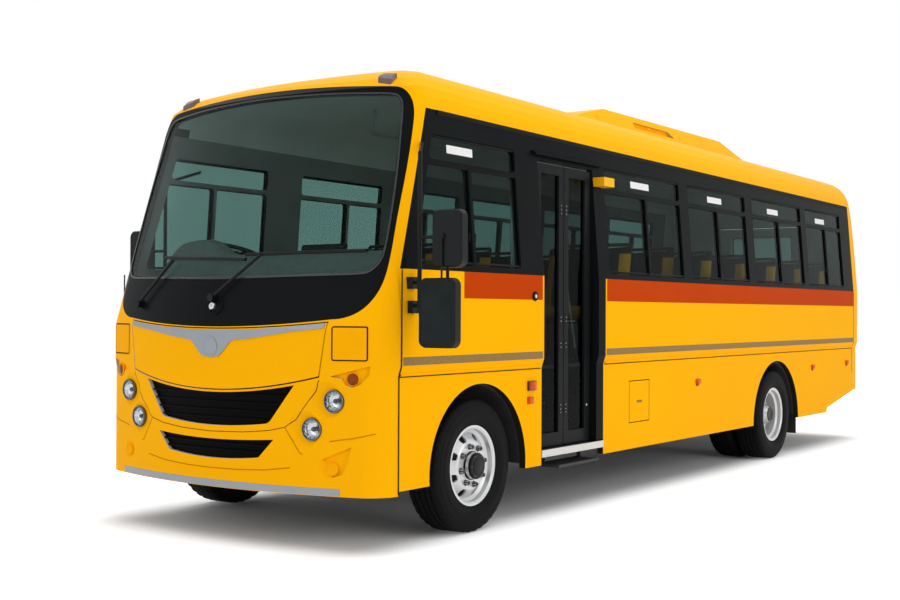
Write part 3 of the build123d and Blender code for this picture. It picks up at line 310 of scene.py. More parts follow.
def flank_strip(name, side, start, end, columns, rows, profile, thickness, material):
    """A strip along one side, whose profile gives the distance from the middle and the height."""
    def flank_place(along, up):
        y = crossing(along if side > 0 else 1 - along, start, end)
        x, z = profile(up, y)
        return (side * x, y, z)

    laid_strip(name, columns, rows, flank_place, None, thickness, material)


# the woven reflecting tape on the rub rail, in the lengths that the doorway leaves
reflecting_tape = finish("tan reflecting tape", (0.3, 0.188, 0.066), 0.5, metallic=0.1, specular=0.1,
    tone=0.25, scale=90, grain=1200, bump=0.25, slot="silver_metal")
TAPE_BOTTOM, TAPE_TOP, SIDE_FACE = 1.003, 1.048, 1.1162
for name, side, start, end in (("front", 1, -3.806, -2.369), ("rear", 1, -1.533, 3.768),
        ("right", -1, -3.806, 3.768)):
    flank_strip(f"side_tape_{name}", side, start, end, 24, 2,
        lambda up, y: (SIDE_FACE, crossing(up, TAPE_BOTTOM, TAPE_TOP)), 0.0008, reflecting_tape)

# the black weatherstrips that fill the upright seams between the sides and the two end caps
seam_black = finish("seam black", (0.006, 0.006, 0.006), 0.6, tone=0.2, scale=30, specular=0.1)
SIDES = ((1, "left"), (-1, "right"))
SKIRT_X, RAIL_FOOT, RAIL_SLOPE, RAIL_DEPTH = 1.0984, 0.949, 0.051, 0.018
for side, word in SIDES:
    for seam, y, low, high, width in (("front", -3.8205, 0.312, 1.52, 0.01),
            ("rear", 3.7805, 0.7, 1.52, 0.005)):
        def seam_place(along, up):
            z = crossing(up, low, high)
            x = SKIRT_X + min(1, max(0, z - RAIL_FOOT) / RAIL_SLOPE) * RAIL_DEPTH
            return (side * x, y + (along - 0.5) * width * side, z)

        laid_strip(f"seam_{seam}_{word}", 1, 60, seam_place, None, 0.0012, seam_black)

# the rub rail's rolled lower lip, and under it a dark line for its joint with the skirt, drawn black as the
# painted shadow that the lip casts
for name, side, start, end in (("front_left", 1, -3.812, -2.369), ("rear_left", 1, -1.533, 3.774),
        ("right", -1, -3.812, 3.774)):
    flank_strip(f"rail_lip_{name}", side, start, end, 24, 8,
        lambda up, y: (1.099 + 0.0085 * math.sin(math.pi * up) ** 0.6, 0.9455 + 0.016 * up), 0.0012,
        side_paint)
    # painted shadow: a black line under the lip
    flank_strip(f"rail_lip_shadow_{name}", side, start, end, 24, 1,
        lambda up, y: (1.0987, 0.9385 + 0.0055 * up), 0.0008, seam_black)


# ---- Window bands and side windows ----
# The upper walls are black painted steel with openings for sliding windows of green tinted safety glass.
# Each opening has a fixed light above a rail and two panes below it, held in black rubber.
band_black = finish("band black paint", (0.0075, 0.009, 0.0095), 0.3, tone=0.2, scale=2.0, specular=0.02,
    slot="black_paint")
painted_over(band_black, cabin_face, SHADED_LINING_GREY, tone=0.1, **WALLS_ONLY)
dress(band_black, "window_bands")


def tinted_glass(name, colour, bending):
    """Thin tinted safety glass that is seen through and shines a little; plain light passes it freely."""
    material = bpy.data.materials.new(name)
    material.use_nodes = True
    tree = material.node_tree
    shader = tree.nodes["Principled BSDF"]
    texture = add(tree, "Group", {"Colour": (*colour, 1), "Tone": 0.12, "Scale": 1.3}, node_tree=surface)
    feed(tree, shader, {"Transmission Weight": 1.0, "IOR": bending, "Roughness": 0.0,
        "Base Color": (texture, "Colour")})
    clear = add(tree, "BsdfTransparent", {"Color": (0.94, 0.97, 0.96, 1)})
    path = add(tree, "LightPath")
    plain_light = calculated(tree, "MAXIMUM", (path, "Is Shadow Ray"), (path, "Is Diffuse Ray"))
    passing = add(tree, "MixShader", {"Fac": plain_light, 1: (shader, "BSDF"), 2: (clear, "BSDF")})
    feed(tree, tree.nodes["Material Output"], {"Surface": (passing, "Shader")})
    return material


dress(tinted_glass("side window glass", (0.205, 0.315, 0.295), 1.08), "side_glass")

# the black rubber drip rail under the roof's edge, which also stands in for the dark shadow line under the
# eaves: painted shadow
EAVES_FRONT, EAVES_REAR, EAVES_HIGH, EAVES_LOW = -3.42, 3.72, 2.4325, 2.3975


def drip_profile(up, y):
    height = EAVES_HIGH + (EAVES_LOW - EAVES_HIGH) * (y - EAVES_FRONT) / (EAVES_REAR - EAVES_FRONT)
    return (1.0462 + 0.005 * math.sin(math.pi * up), height - 0.026 + 0.024 * up)


for side, word in SIDES:
    flank_strip(f"drip_rail_and_shadow_{word}", side, EAVES_FRONT, EAVES_REAR, 30, 6, drip_profile, 0.004, seam_black)

# sliding window rails and pull knobs: front edge, rear edge and slider's bar of each window, along the side
WINDOWS = [(-3.69, -2.622, -3.12), (-1.483, -0.282, -0.855), (-0.128, 1.021, 0.435), (1.175, 2.365, 1.79),
    (2.488, 3.493, 3.04)]
FAR_WINDOWS = [WINDOWS[0], (-2.265, -1.32, -1.725), (-1.17, -0.26, -0.71)] + WINDOWS[2:]
WINDOW_LOW, RAIL_HEIGHT, WINDOW_HIGH = 1.56, 2.135, 2.29
FIRST_EDGE_SLANT = 0.288


SILL_X, SILL_Z, WALL_LEAN, WALL_RISE = 1.116, 1.524, 0.071, 0.909


def wall_x(z):
    """Half the body's width between the sill and the eaves."""
    return SILL_X - WALL_LEAN * (z - SILL_Z) / WALL_RISE


def bar(name, start, end, radius, material, body="bus_body", sides=16):
    """A round bar between two points, with softened ends."""
    start = Vector(start)
    end = Vector(end)
    turn = (end - start).to_track_quat("Z", "Y").to_euler()
    bpy.ops.mesh.primitive_cylinder_add(vertices=sides, radius=radius, depth=(end - start).length,
        location=(start + end) / 2, rotation=turn)
    piece = bpy.context.object
    press(piece, "BEVEL", width=radius * 0.25, segments=2, limit_method="ANGLE")
    return complete(piece, name, material, body, smooth=50)


def joined(pieces, name):
    """One piece made of several alike, such as the screws of one plate."""
    bpy.ops.object.select_all(action="DESELECT")
    for piece in pieces:
        piece.select_set(True)
    bpy.context.view_layer.objects.active = pieces[0]
    bpy.ops.object.join()
    whole = bpy.context.object
    whole.name = name
    whole.data.name = name
    whole.select_set(False)
    return whole


window_rubber = finish("window rubber", (0.006, 0.006, 0.007), 0.5, tone=0.2, scale=20, grain=900,
    bump=0.1, specular=0.08)
for side, word, windows in ((1, "left", WINDOWS), (-1, "right", FAR_WINDOWS)):
    rails = []
    for front, rear, slider in windows:
        lean = FIRST_EDGE_SLANT * (RAIL_HEIGHT - WINDOW_LOW) if front == WINDOWS[0][0] else 0
        x = side * (wall_x(RAIL_HEIGHT) - 0.008)
        rails.append(bar("rail", (x, front + lean, RAIL_HEIGHT - 0.013), (x, rear, RAIL_HEIGHT - 0.013),
            0.007, window_rubber, sides=8))
        for z in (WINDOW_LOW + 0.012, WINDOW_HIGH - 0.008):
            foot = front + FIRST_EDGE_SLANT * (z - WINDOW_LOW) if lean else front
            x = side * (wall_x(z) - 0.01)
            rails.append(bar("rail", (x, foot, z), (x, rear, z), 0.008, window_rubber, sides=8))
        for knob_y in (slider - 0.03, slider + 0.03):
            low = Vector((side * (wall_x(1.72) - 0.012), knob_y, 1.7))
            rails.append(bar("knob", low, low + Vector((0, 0, 0.05)), 0.007, window_rubber, sides=8))
    joined(rails, f"window_rails_{word}")

# blank white stickers inside the upper lights: middle along the bus, middle height, length
label_white = finish("blank sticker white", (0.8, 0.8, 0.79), 0.5, tone=0.06, scale=30, slot="lamp_clear")
STICKERS = [(-3.195, 2.222, 0.26), (-0.915, 2.212, 0.29), (0.415, 2.208, 0.28), (1.69, 2.2, 0.26),
    (2.93, 2.192, 0.26)]
for number, (middle, height, length) in enumerate(STICKERS):
    def sticker_place(along, up):
        z = height - 0.024 + 0.048 * up
        return (wall_x(z) - 0.0133, middle + length * (along - 0.5), z)

    laid_strip(f"sticker_{number}", 4, 2, sticker_place, None, 0.0004, label_white)


# ---- Roof and roof pod ----
# A sheet steel roof with domed ends, sprayed with the body, and a moulded air duct cover bolted along it.
# Inside it carries the same lining, painted a much paler grey than on the walls: a painted highlight for
# the sky's reflection at the top of the windscreen.
shell_paint = finish("shell paint", BUS_YELLOW, 0.34, **(BODY_PAINT | {"specular": 0.015}))
# the inner faces of the roof and the end panels in a pale grey: painted highlight
painted_over(shell_paint, cabin_face, (0.6, 0.62, 0.61), tone=0.1)
dress(shell_paint, "roof_shell", "roof_pod", "front_fascia", "service_lid", "rear_panel", "rear_door")


def screw(place, out, radius, material, body="bus_body"):
    """A domed screw head on a surface that faces out."""
    out = Vector(out).normalized()
    place = Vector(place)
    bpy.ops.mesh.primitive_uv_sphere_add(segments=10, ring_count=6, radius=1, location=place,
        rotation=out.to_track_quat("Z", "Y").to_euler(), scale=(radius, radius, radius * 0.35))
    return complete(bpy.context.object, "screw", material, body, smooth=60)


bolt_steel = finish("bright bolt steel", (0.62, 0.63, 0.65), 0.3, metallic=0.9, tone=0.1, scale=120,
    slot="silver_metal")
pod_bolts = []
for side in (1, -1):
    for y in (-0.55, 0.35, 0.93, 1.4, 2.05):
        pod_bolts.append(screw((side * 0.498, y, 2.823), (side * 0.88, 0, 0.47), 0.014, shell_paint))
joined(pod_bolts, "pod_bolts")


# ---- Front panel, service lid and windscreen surround ----
# The nose is one moulded panel with a lid hinged below the windscreen; the surround is painted gloss black.
# Shut lines are fine dark grooves, the bumper's creases are painted shade in a darker yellow, and a wide
# silver moulding crosses the lid in a shallow V.
surround_black = finish("surround black paint", (0.006, 0.007, 0.008), 0.28, tone=0.12, scale=3.0,
    specular=0.03)
painted_over(surround_black, cabin_face, (0.03, 0.032, 0.032), tone=0.1)
dress(surround_black, "windscreen_surround")
moulding_silver = finish("moulding silver", (0.29, 0.32, 0.355), 0.36, metallic=0.35, tone=0.06, scale=6,
    specular=0.3, slot="silver_metal")


BEFORE_NOSE = -4.4


def front_place(x, z):
    """A point well before the nose, to be pressed on to it."""
    return (x, BEFORE_NOSE, z)


# the V moulding: its upper edge follows the lid's, its lower edge drops to a short tongue in the middle
MOULDING_EDGE = [(0, 1.033), (0.07, 1.04), (0.12, 1.09), (0.16, 1.13), (0.3, 1.143), (0.55, 1.18),
    (0.785, 1.205)]
MOULDING_END, MOULDING_TOP, MOULDING_RISE = 0.765, 1.186, 0.043


def along_edge(x):
    """The height of the moulding's lower edge at a distance from the middle."""
    for (x0, z0), (x1, z1) in zip(MOULDING_EDGE, MOULDING_EDGE[1:]):
        if x <= x1:
            return crossing((x - x0) / (x1 - x0), z0, z1)
    return MOULDING_EDGE[-1][1]


def moulding_place(along, up):
    x = crossing(along, -MOULDING_END, MOULDING_END)
    top = MOULDING_TOP + MOULDING_RISE * (abs(x) / MOULDING_END) ** 2
    return front_place(x, crossing(up, along_edge(abs(x)), top))


laid_strip("lid_moulding", 72, 8, moulding_place, "service_lid", 0.006, moulding_silver, "front_lid")

# the plain silver tape along the bottom of the nose
laid_strip("nose_tape", 60, 2, lambda along, up: front_place(crossing(along, -0.86, 0.86),
    crossing(up, 0.308, 0.346)), "front_fascia", 0.001, moulding_silver)


# the bumper's soft creases drawn as darker yellow lines: painted shade
painted_crease_shade = finish("crease shade", (0.6, 0.235, 0.001), 0.45, tone=0.1, scale=8, specular=0.01,
    slot="yellow_paint")


def groove(name, points, width, material=seam_black):
    """A fine shut line or crease drawn over the nose through a row of (x, z) points."""
    def groove_place(along, up):
        step = min(int(along * (len(points) - 1) + 1e-6), len(points) - 2)
        share = along * (len(points) - 1) - step
        (x0, z0), (x1, z1) = points[step], points[step + 1]
        length = math.hypot(x1 - x0, z1 - z0)
        x = crossing(share, x0, x1) - (z1 - z0) / length * (up - 0.5) * width
        z = crossing(share, z0, z1) + (x1 - x0) / length * (up - 0.5) * width
        return front_place(x, z)

    laid_strip(name, 6 * (len(points) - 1), 1, groove_place, "front_fascia", 0.0006, material)


HALF_SEAM = [(0.25, 0.624), (0.42, 0.64), (0.53, 0.663), (0.59, 0.705), (0.66, 0.79), (0.715, 0.87),
    (0.737, 0.925)]
HALF_CREASE = [(0.2, 0.414), (0.4, 0.424), (0.565, 0.446)]


def both_ways(half, middle):
    """A row of points that runs alike to both sides of a middle one."""
    return [(-x, z) for x, z in reversed(half)] + [middle] + half


groove("seam_lid_panel", both_ways(HALF_SEAM, (0.0, 0.616)), 0.0035)
groove("seam_bumper_middle", both_ways(HALF_CREASE, (0, 0.411)), 0.006, painted_crease_shade)
for side, word in SIDES:
    for label, points in (("turn", [(0.532, 0.659), (0.585, 0.585), (0.622, 0.53), (0.64, 0.522)]),
            ("corner", [(0.8, 0.598), (0.86, 0.608), (0.93, 0.618), (0.99, 0.632), (1.04, 0.645)])):
        if side < 0:
            points = [(-x, z) for x, z in reversed(points)]
        groove(f"seam_bumper_{label}_{word}", points, 0.006, painted_crease_shade)


def edit_whole():
    """Opens the active piece for editing, with all of it selected."""
    bpy.ops.object.mode_set(mode="EDIT")
    bpy.ops.mesh.select_all(action="SELECT")


def end_edit():
    """Turns the faces of the active piece outwards and ends its editing."""
    bpy.ops.mesh.select_all(action="SELECT")
    bpy.ops.mesh.normals_make_consistent(inside=False)
    bpy.ops.object.mode_set(mode="OBJECT")


def turned(name, profile, centre, axis, steps, material, body="bus_body", smooth=35, slot=None):
    """A turned piece: a closed ring of (along, radius) points in millimetres, spun round its axle line."""
    centre = Vector(centre)
    axis = Vector(axis).normalized()
    across = axis.orthogonal().normalized()
    bpy.ops.mesh.primitive_circle_add(vertices=len(profile), radius=1)
    piece = bpy.context.object
    for vertex, (along, radius) in zip(piece.data.vertices, profile):
        vertex.co = centre + axis * (along / 1000) + across * max(radius / 1000, 0.00001)
    edit_whole()
    bpy.ops.mesh.spin(steps=steps, angle=2 * math.pi, center=centre, axis=axis)
    bpy.ops.mesh.select_all(action="SELECT")
    bpy.ops.mesh.remove_doubles(threshold=0.00004)
    bpy.ops.mesh.dissolve_degenerate(threshold=0.00001)
    bpy.ops.mesh.normals_make_consistent(inside=False)
    bpy.ops.object.mode_set(mode="OBJECT")
    return complete(piece, name, material, body, smooth, slot)


NOSE_FRONT, NOSE_RADIUS, LID_HEIGHT, LID_SLOPE = -4.14, 3.186, 1.2, math.radians(17.5)


def nose_y(x, z):
    """Where the nose's surface lies, in front of the middle of the bus."""
    y = NOSE_FRONT if z < LID_HEIGHT else NOSE_FRONT + (z - LID_HEIGHT) * math.tan(LID_SLOPE)
    return y + NOSE_RADIUS - math.sqrt(NOSE_RADIUS ** 2 - x ** 2)


# the plain round badge place on the moulding, left empty, and the lid's lock under the windscreen
turned("moulding_disc", [(0, 56), (4, 56), (7.5, 52), (7.5, 47), (5, 44), (5, 0), (0, 0)],
    (0, nose_y(0, 1.095) - 0.0045, 1.095), (0, -1, 0), 40, moulding_silver, "front_lid")
lock_y = nose_y(0, 1.321)
lock_out = (0, -math.cos(LID_SLOPE), math.sin(LID_SLOPE))
turned("surround_lock_ring", [(-2, 52), (5, 52), (8, 49), (8, 45), (3, 43), (-2, 43)],
    (0.008, lock_y, 1.321), lock_out, 36, band_black)
turned("surround_lock", [(-4, 21), (16, 21), (20, 17), (20, 6), (14, 4), (14, 0), (-4, 0)],
    (-0.018, lock_y, 1.318), lock_out, 28, bolt_steel)


# ---- Blank signs ----
# Square plates on both corners of the nose, yellow with a black rounded frame line, left without words.
# Each is cut into small faces, so that it bends with the panel it is stuck to.
sign_yellow = finish("sign yellow", (0.98, 0.43, 0.0015), 0.42, tone=0.04, scale=8, specular=0.015,
    slot="yellow_paint")
SIGN_X, SIGN_Z, SIGN_WIDTH, SIGN_HEIGHT = 0.909, 1.121, 0.21, 0.194
SIGN_MARGIN, SIGN_LINE, SIGN_CORNER = 0.004, 0.0078, 0.0105


def upright_plate(x0, x1, z0, z1, y, turn, rounding, segments, materials=()):
    """Opens an upright plate with rounded corners for editing; it faces forwards or backwards."""
    bpy.ops.mesh.primitive_plane_add(size=1, location=((x0 + x1) / 2, y, (z0 + z1) / 2),
        rotation=(math.pi / 2 * turn, 0, 0))
    plate = bpy.context.object
    plate.scale = (x1 - x0, z1 - z0, 1)
    bpy.ops.object.transform_apply(location=True, rotation=True, scale=True)
    for material in materials:
        plate.data.materials.append(material)
    edit_whole()
    bpy.ops.mesh.bevel(offset=rounding, segments=segments, affect="VERTICES")
    bpy.ops.mesh.select_all(action="SELECT")
    return plate


for side, word in SIDES:
    middle_x = side * SIGN_X
    sign = upright_plate(middle_x - SIGN_WIDTH / 2, middle_x + SIGN_WIDTH / 2, SIGN_Z - SIGN_HEIGHT / 2,
        SIGN_Z + SIGN_HEIGHT / 2, BEFORE_NOSE, 1, 0.018, 5)
    bpy.ops.mesh.inset(thickness=SIGN_MARGIN)
    bpy.ops.mesh.inset(thickness=SIGN_LINE)
    for count, corner, step in ((16, middle_x - SIGN_WIDTH / 2, (SIGN_WIDTH, 0, 0)),
            (6, SIGN_Z - SIGN_HEIGHT / 2, (0, 0, SIGN_HEIGHT))):
        normal = Vector(step).normalized()
        for cut in range(1, count):
            bpy.ops.mesh.select_all(action="SELECT")
            bpy.ops.mesh.bisect(plane_co=normal * corner + Vector(step) * cut / count, plane_no=normal)
    end_edit()
    sign.data.materials.append(sign_yellow)
    sign.data.materials.append(seam_black)
    for face in sign.data.polygons:
        across = SIGN_WIDTH / 2 - abs(face.center.x - middle_x)
        upright = SIGN_HEIGHT / 2 - abs(face.center.z - SIGN_Z)
        edge = min(across, upright, (across + upright - SIGN_CORNER) / math.sqrt(2))
        face.material_index = 1 if SIGN_MARGIN < edge < SIGN_MARGIN + SIGN_LINE else 0
    pressed_on(sign, "front_fascia", 0.0015)
    complete(sign, f"sign_blank_{word}", None, smooth=40, slot="yellow_paint")


# ---- Windscreen ----
# One bonded pane of pale green laminated glass, darker than clear glass and slightly glossy.
# A black printed border hides the bond, and a rubber bead covers the pane's edge.
dress(tinted_glass("windscreen glass", (0.41, 0.565, 0.535), 1.1), "windscreen")
bead_rubber = finish("bead rubber", (0.016, 0.018, 0.019), 0.25, tone=0.2, scale=30, specular=0.5)
SCREEN_SIDE = [(0.45, 1.4945), (0.75, 1.5), (0.9, 1.505), (0.957, 1.52), (0.993, 1.568), (1.002, 1.64),
    (0.999, 1.8), (0.99, 1.98), (0.978, 2.13), (0.963, 2.27), (0.944, 2.42), (0.919, 2.482),
    (0.865, 2.506), (0.7, 2.5185), (0.45, 2.531)]
SCREEN_ROUND = [(0, 1.487)] + SCREEN_SIDE + [(0, 2.54)] + [(-x, z) for x, z in reversed(SCREEN_SIDE)]


def bead_place(along, up):
    """A smooth curve through the outline's points, moved out by the bead's width."""
    count = len(SCREEN_ROUND)
    step = int(along * count - 1e-9)
    share = along * count - step
    p0, p1, p2, p3 = [Vector(SCREEN_ROUND[(step + shift) % count]) for shift in (-1, 0, 1, 2)]
    point = 0.5 * (2 * p1 + (p2 - p0) * share + (2 * p0 - 5 * p1 + 4 * p2 - p3) * share ** 2
        + (3 * p1 - p0 - 3 * p2 + p3) * share ** 3)
    slope = 0.5 * ((p2 - p0) + 2 * (2 * p0 - 5 * p1 + 4 * p2 - p3) * share
        + 3 * (3 * p1 - p0 - 3 * p2 + p3) * share ** 2)
    point += Vector((slope.y, -slope.x)).normalized() * (0.013 - 0.01 * up)
    return front_place(point.x, point.y)


laid_strip("windscreen_bead", 32 * 8, 2, bead_place, "windscreen_surround", 0.0035, bead_rubber)


# ---- Wipers ----
# Two black steel arms on the surround carry rubber blades; splined pivots hold them under round caps.
# Arms, blades and pivots are the frame's own, in one dull black.
dress(finish("wiper black", (0.006, 0.006, 0.007), 0.42, tone=0.2, scale=40, specular=0.15), "wipers")


# ---- Grilles ----
# Black moulded grilles sit deep in the two openings, with thin level bars in front of a closed back.
# They are the frame's own, in a grainy black that hardly shines.
dress(finish("grille black", (0.0025, 0.0025, 0.003), 0.5, tone=0.2, scale=25, grain=700, bump=0.1,
    specular=0.03), "grilles")


# ---- Headlamps and turn lamps ----
# Round glass headlamps with a bright reflector bowl, a bulb shield and a grey rim sit in dished hollows.
# The turn lamps are amber domes in rims sprayed with the body; the side markers are small amber blocks.
lamp_chrome = finish("lamp chrome", (0.58, 0.6, 0.63), 0.12, metallic=1.0, tone=0.08, scale=60, change=0.1,
    slot="lamp_clear")
LENS = {"coat": 0.05, "specular": 0.1, "scale": 70, "grain": 500, "bump": 0.3, "slot": "lamp_amber"}
AMBER = (0.8, 0.135, 0.002)
amber_lens = finish("amber lens", AMBER, 0.18, tone=0.35, **LENS)
turn_lens = finish("turn lamp lens", (0.3, 0.055, 0.004), 0.18, tone=0.4, **LENS)
red_lens = finish("red lens", (0.62, 0.05, 0.002), 0.18, tone=0.3, **LENS)
lamp_rim = finish("lamp rim grey", (0.16, 0.16, 0.17), 0.3, metallic=0.8, tone=0.2, scale=60,
    slot="lamp_clear")
dark_rim = finish("lamp rim black", (0.02, 0.02, 0.02), 0.4, tone=0.2, scale=50)
lens_clear = tinted_glass("headlamp glass", (0.93, 0.95, 0.96), 1.3)
LAMP_PLACES = [(0.82, 0.812), (0.692, 0.658)]
for side, word in SIDES:
    for number, (x, z) in enumerate(LAMP_PLACES):
        face = Vector((side * x, nose_y(x, z) + 0.004, z))
        ahead = (side * 0.12, -1, 0)
        tag = f"{word}_{number}"
        bowl = turned(f"headlamp_bowl_{tag}", [(-4, 59), (-4, 55.5), (-12, 52), (-24, 44), (-32, 34),
            (-36, 22), (-37, 10), (-37, 0), (-40, 0), (-40, 12), (-38, 26), (-34, 40), (-25, 50),
            (-10, 59)], face, ahead, 18, lamp_chrome, smooth=0)
        turned(f"headlamp_rim_{tag}", [(-10, 62.8), (3, 62.8), (7.5, 60.5), (8, 57.5), (4, 55.2),
            (-4, 55.2), (-10, 59)], face, ahead, 48, lamp_rim, smooth=40)
        turned(f"headlamp_glass_{tag}", [(0, 55.6), (3.5, 50), (7, 38), (9.2, 20), (9.8, 0), (7.8, 0),
            (7.2, 20), (5, 38), (1.5, 50), (-2, 55.6)], face, ahead, 40, lens_clear, smooth=50,
            slot="lamp_clear")
        turned(f"headlamp_bulb_{tag}", [(-36, 13), (-20, 13), (-12, 12), (-8, 8), (-6, 0), (-36, 0)], face,
            ahead, 24, dark_rim, smooth=40, slot="lamp_clear")
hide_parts("headlamps")

# the lamps' own node: its roof markers are greyer, and its box by the door is sprayed with the body
lamp_amber = finish("lamp amber", AMBER, 0.25, tone=0.35, **LENS)
painted_over(lamp_amber, stretch, (0.22, 0.165, 0.15), tone=0.4, scale=30, Bottom=2.4, Top=3.0)
painted_over(lamp_amber, stretch, BUS_YELLOW, tone=0.05, Bottom=2.1, Top=2.3)
dress(lamp_amber, "amber_lamps")
for side, word in SIDES:
    x, z = 0.922, 0.932
    face = Vector((side * x, nose_y(x, z) + 0.018, z))
    ahead = (side * 0.42, -1, 0)
    turned(f"turn_lamp_rim_{word}", [(-10, 37.5), (12, 37.5), (16, 34.5), (12, 31.5), (-10, 31.5)], face,
        ahead, 36, shell_paint, smooth=40)
    turned(f"turn_lamp_dome_{word}", [(-8, 31.2), (12, 31.2), (18, 27), (22, 18), (23.5, 8), (23.5, 0),
        (-8, 0)], face, ahead, 36, turn_lens, smooth=50)
    turned(f"fog_cover_{word}", [(-20, 36), (4, 36), (8, 33), (8, 26), (4.5, 23), (4.5, 0), (-20, 0)],
        (side * 0.812, nose_y(0.812, 0.45) + 0.01, 0.45), (side * 0.15, -1, 0), 36, sign_yellow, smooth=40)


def plain_block(low, high):
    """A block between two corners."""
    low, high = Vector(low), Vector(high)
    bpy.ops.mesh.primitive_cube_add(size=1, location=(low + high) / 2, scale=high - low)
    bpy.ops.object.transform_apply(location=True, rotation=True, scale=True)
    return bpy.context.object


def moulded_block(name, low, high, rounding, material, body="bus_body", segments=2, slot=None):
    """A small moulded block: a cube drawn to its size with rounded edges."""
    piece = plain_block(low, high)
    edit_whole()
    bpy.ops.mesh.bevel(offset=rounding, segments=segments, affect="EDGES")
    bpy.ops.object.mode_set(mode="OBJECT")
    return complete(piece, name, material, body, slot=slot)


def flank_block(name, side, inner, outer, middle, size, rounding, material, segments=2):
    """A block on one side: its two distances from the bus's middle, then its middle and size as (y, z)."""
    x0, x1 = sorted((side * inner, side * outer))
    (y, z), (length, height) = middle, size
    moulded_block(name, (x0, y - length / 2, z - height / 2), (x1, y + length / 2, z + height / 2),
        rounding, material, segments=segments)


# two-part covers on the side turn lamps, as the real ones have: a red half and an orange half
for side, word in SIDES:
    for label, place, size, lens in (("front", (-2.502, 0.838), (0.04, 0.052), red_lens),
            ("rear", (-2.46, 0.838), (0.04, 0.052), amber_lens),
            ("low", (-2.498, 0.748), (0.05, 0.036), amber_lens)):
        flank_block(f"flank_lens_{label}_{word}", side, 1.108, 1.118, place, size, 0.004, lens)
    flank_block(f"flank_lens_frame_{word}", side, 1.1, 1.1135, (-2.481, 0.838), (0.091, 0.06), 0.003,
        dark_rim)
    for number, (y, z) in enumerate(((-0.018, 0.76), (2.594, 0.788), (3.6, 0.8))):
        flank_block(f"side_marker_{number}_{word}", side, 1.098, 1.124, (y, z + 0.002), (0.06, 0.038),
            0.007, amber_lens, 3)
        flank_block(f"side_marker_foot_{number}_{word}", side, 1.098, 1.11, (y, z - 0.023),
            (0.036, 0.022), 0.003, turn_lens)


# ---- Entrance ----
# Two folding leaves of black steel tube carry long safety glass panes, linked at their middle posts.
# The frame is screwed, a bright rail crosses the rear leaf inside, and an aluminium sill edges the step.
leaf_black = finish("door leaf black", (0.009, 0.01, 0.011), 0.34, tone=0.15, scale=8, specular=0.05,
    slot="black_paint")
dress(leaf_black, "door_leaf_front", "door_leaf_rear")
dress(tinted_glass("door glass", (0.085, 0.125, 0.115), 1.08), "door_glass_front", "door_glass_rear")
sill_silver = finish("sill aluminium", (0.6, 0.6, 0.58), 0.35, metallic=0.5, tone=0.1, scale=20, grain=300,
    slot="silver_metal")
dress(sill_silver, "entrance_sill")
dress(finish("step well black", (0.02, 0.02, 0.02), 0.6, tone=0.3, scale=14, grain=250, bump=0.4),
    "stepwell")
pipe_grey = finish("cross bar grey", (0.2, 0.21, 0.21), 0.45, metallic=0.3, tone=0.15, scale=30,
    slot="silver_metal")
LEAF_FACE, POST_MIDDLE = 1.05, -2.0025
LEAF_SCREWS = (1.992, 1.965, 1.94, 1.262, 1.236, 1.092, 1.066, 0.69, 0.662, 0.64)
LEAF_PLATES = (1.966, 1.249, 1.079, 0.664)
for word, body, y in (("front", "entrance_leaf_front", POST_MIDDLE - 0.033),
        ("rear", "entrance_leaf_rear", POST_MIDDLE + 0.033)):
    heads = [screw((LEAF_FACE, y, z), (1, 0, 0), 0.0055, bolt_steel, body) for z in LEAF_SCREWS]
    joined(heads, f"leaf_screws_{word}")
    plates = [moulded_block("plate", (LEAF_FACE - 0.002, y - 0.014, z - 0.042),
        (LEAF_FACE + 0.0015, y + 0.014, z + 0.042), 0.001, leaf_black, body, segments=1)
        for z in LEAF_PLATES]
    joined(plates, f"leaf_hinge_plates_{word}")
row = [screw((LEAF_FACE - 0.019, y, 1.236), (1, 0, 0), 0.0045, bolt_steel, "entrance_leaf_rear")
    for y in (-1.925, -1.9, -1.875, -1.85, -1.825)]
row.append(screw((LEAF_FACE, -1.69, 0.672), (1, 0, 0), 0.008, bolt_steel, "entrance_leaf_rear"))
joined(row, "leaf_middle_screws")
rail_pale = finish("pale hand rail", (0.55, 0.56, 0.55), 0.4, metallic=0.1, tone=0.1, scale=40,
    slot="silver_metal")
bar("leaf_hand_rail", (1.006, -1.925, 1.6), (1.006, -1.772, 1.055), 0.006, rail_pale, "entrance_leaf_rear")
for word, body, y0, y1 in (("front", "entrance_leaf_front", -2.288, -2.068),
        ("rear", "entrance_leaf_rear", -1.938, -1.73)):
    moulded_block(f"leaf_cross_bar_{word}", (1.006, y0, 0.93), (1.02, y1, 0.952), 0.003, pipe_grey, body)
for word, z, x in (("floor", 0.901, 0.416), ("tread", 0.661, 0.608)):
    moulded_block(f"step_nosing_{word}", (x - 0.004, -2.35, z - 0.014), (x + 0.034, -1.55, z + 0.004),
        0.002, sill_silver)

# the black lining of the pillar behind the rear leaf
moulded_block("door_pillar_lining", (0.955, -1.6, 0.42), (1.06, -1.56, 2.16), 0.004, leaf_black)

# the lock's black escutcheon and bright barrel on the side, before the doorway
LOCK = Vector((1.116, -2.469, 1.393))
turned("side_lock_cup", [(-4, 30), (5, 30), (9, 26), (6, 20), (6, 0), (-4, 0)], LOCK, (1, 0, 0), 32,
    seam_black)
turned("side_lock_barrel", [(4, 12), (12, 12), (14, 9), (14, 0), (4, 0)], LOCK, (1, 0, 0), 20, bolt_steel)


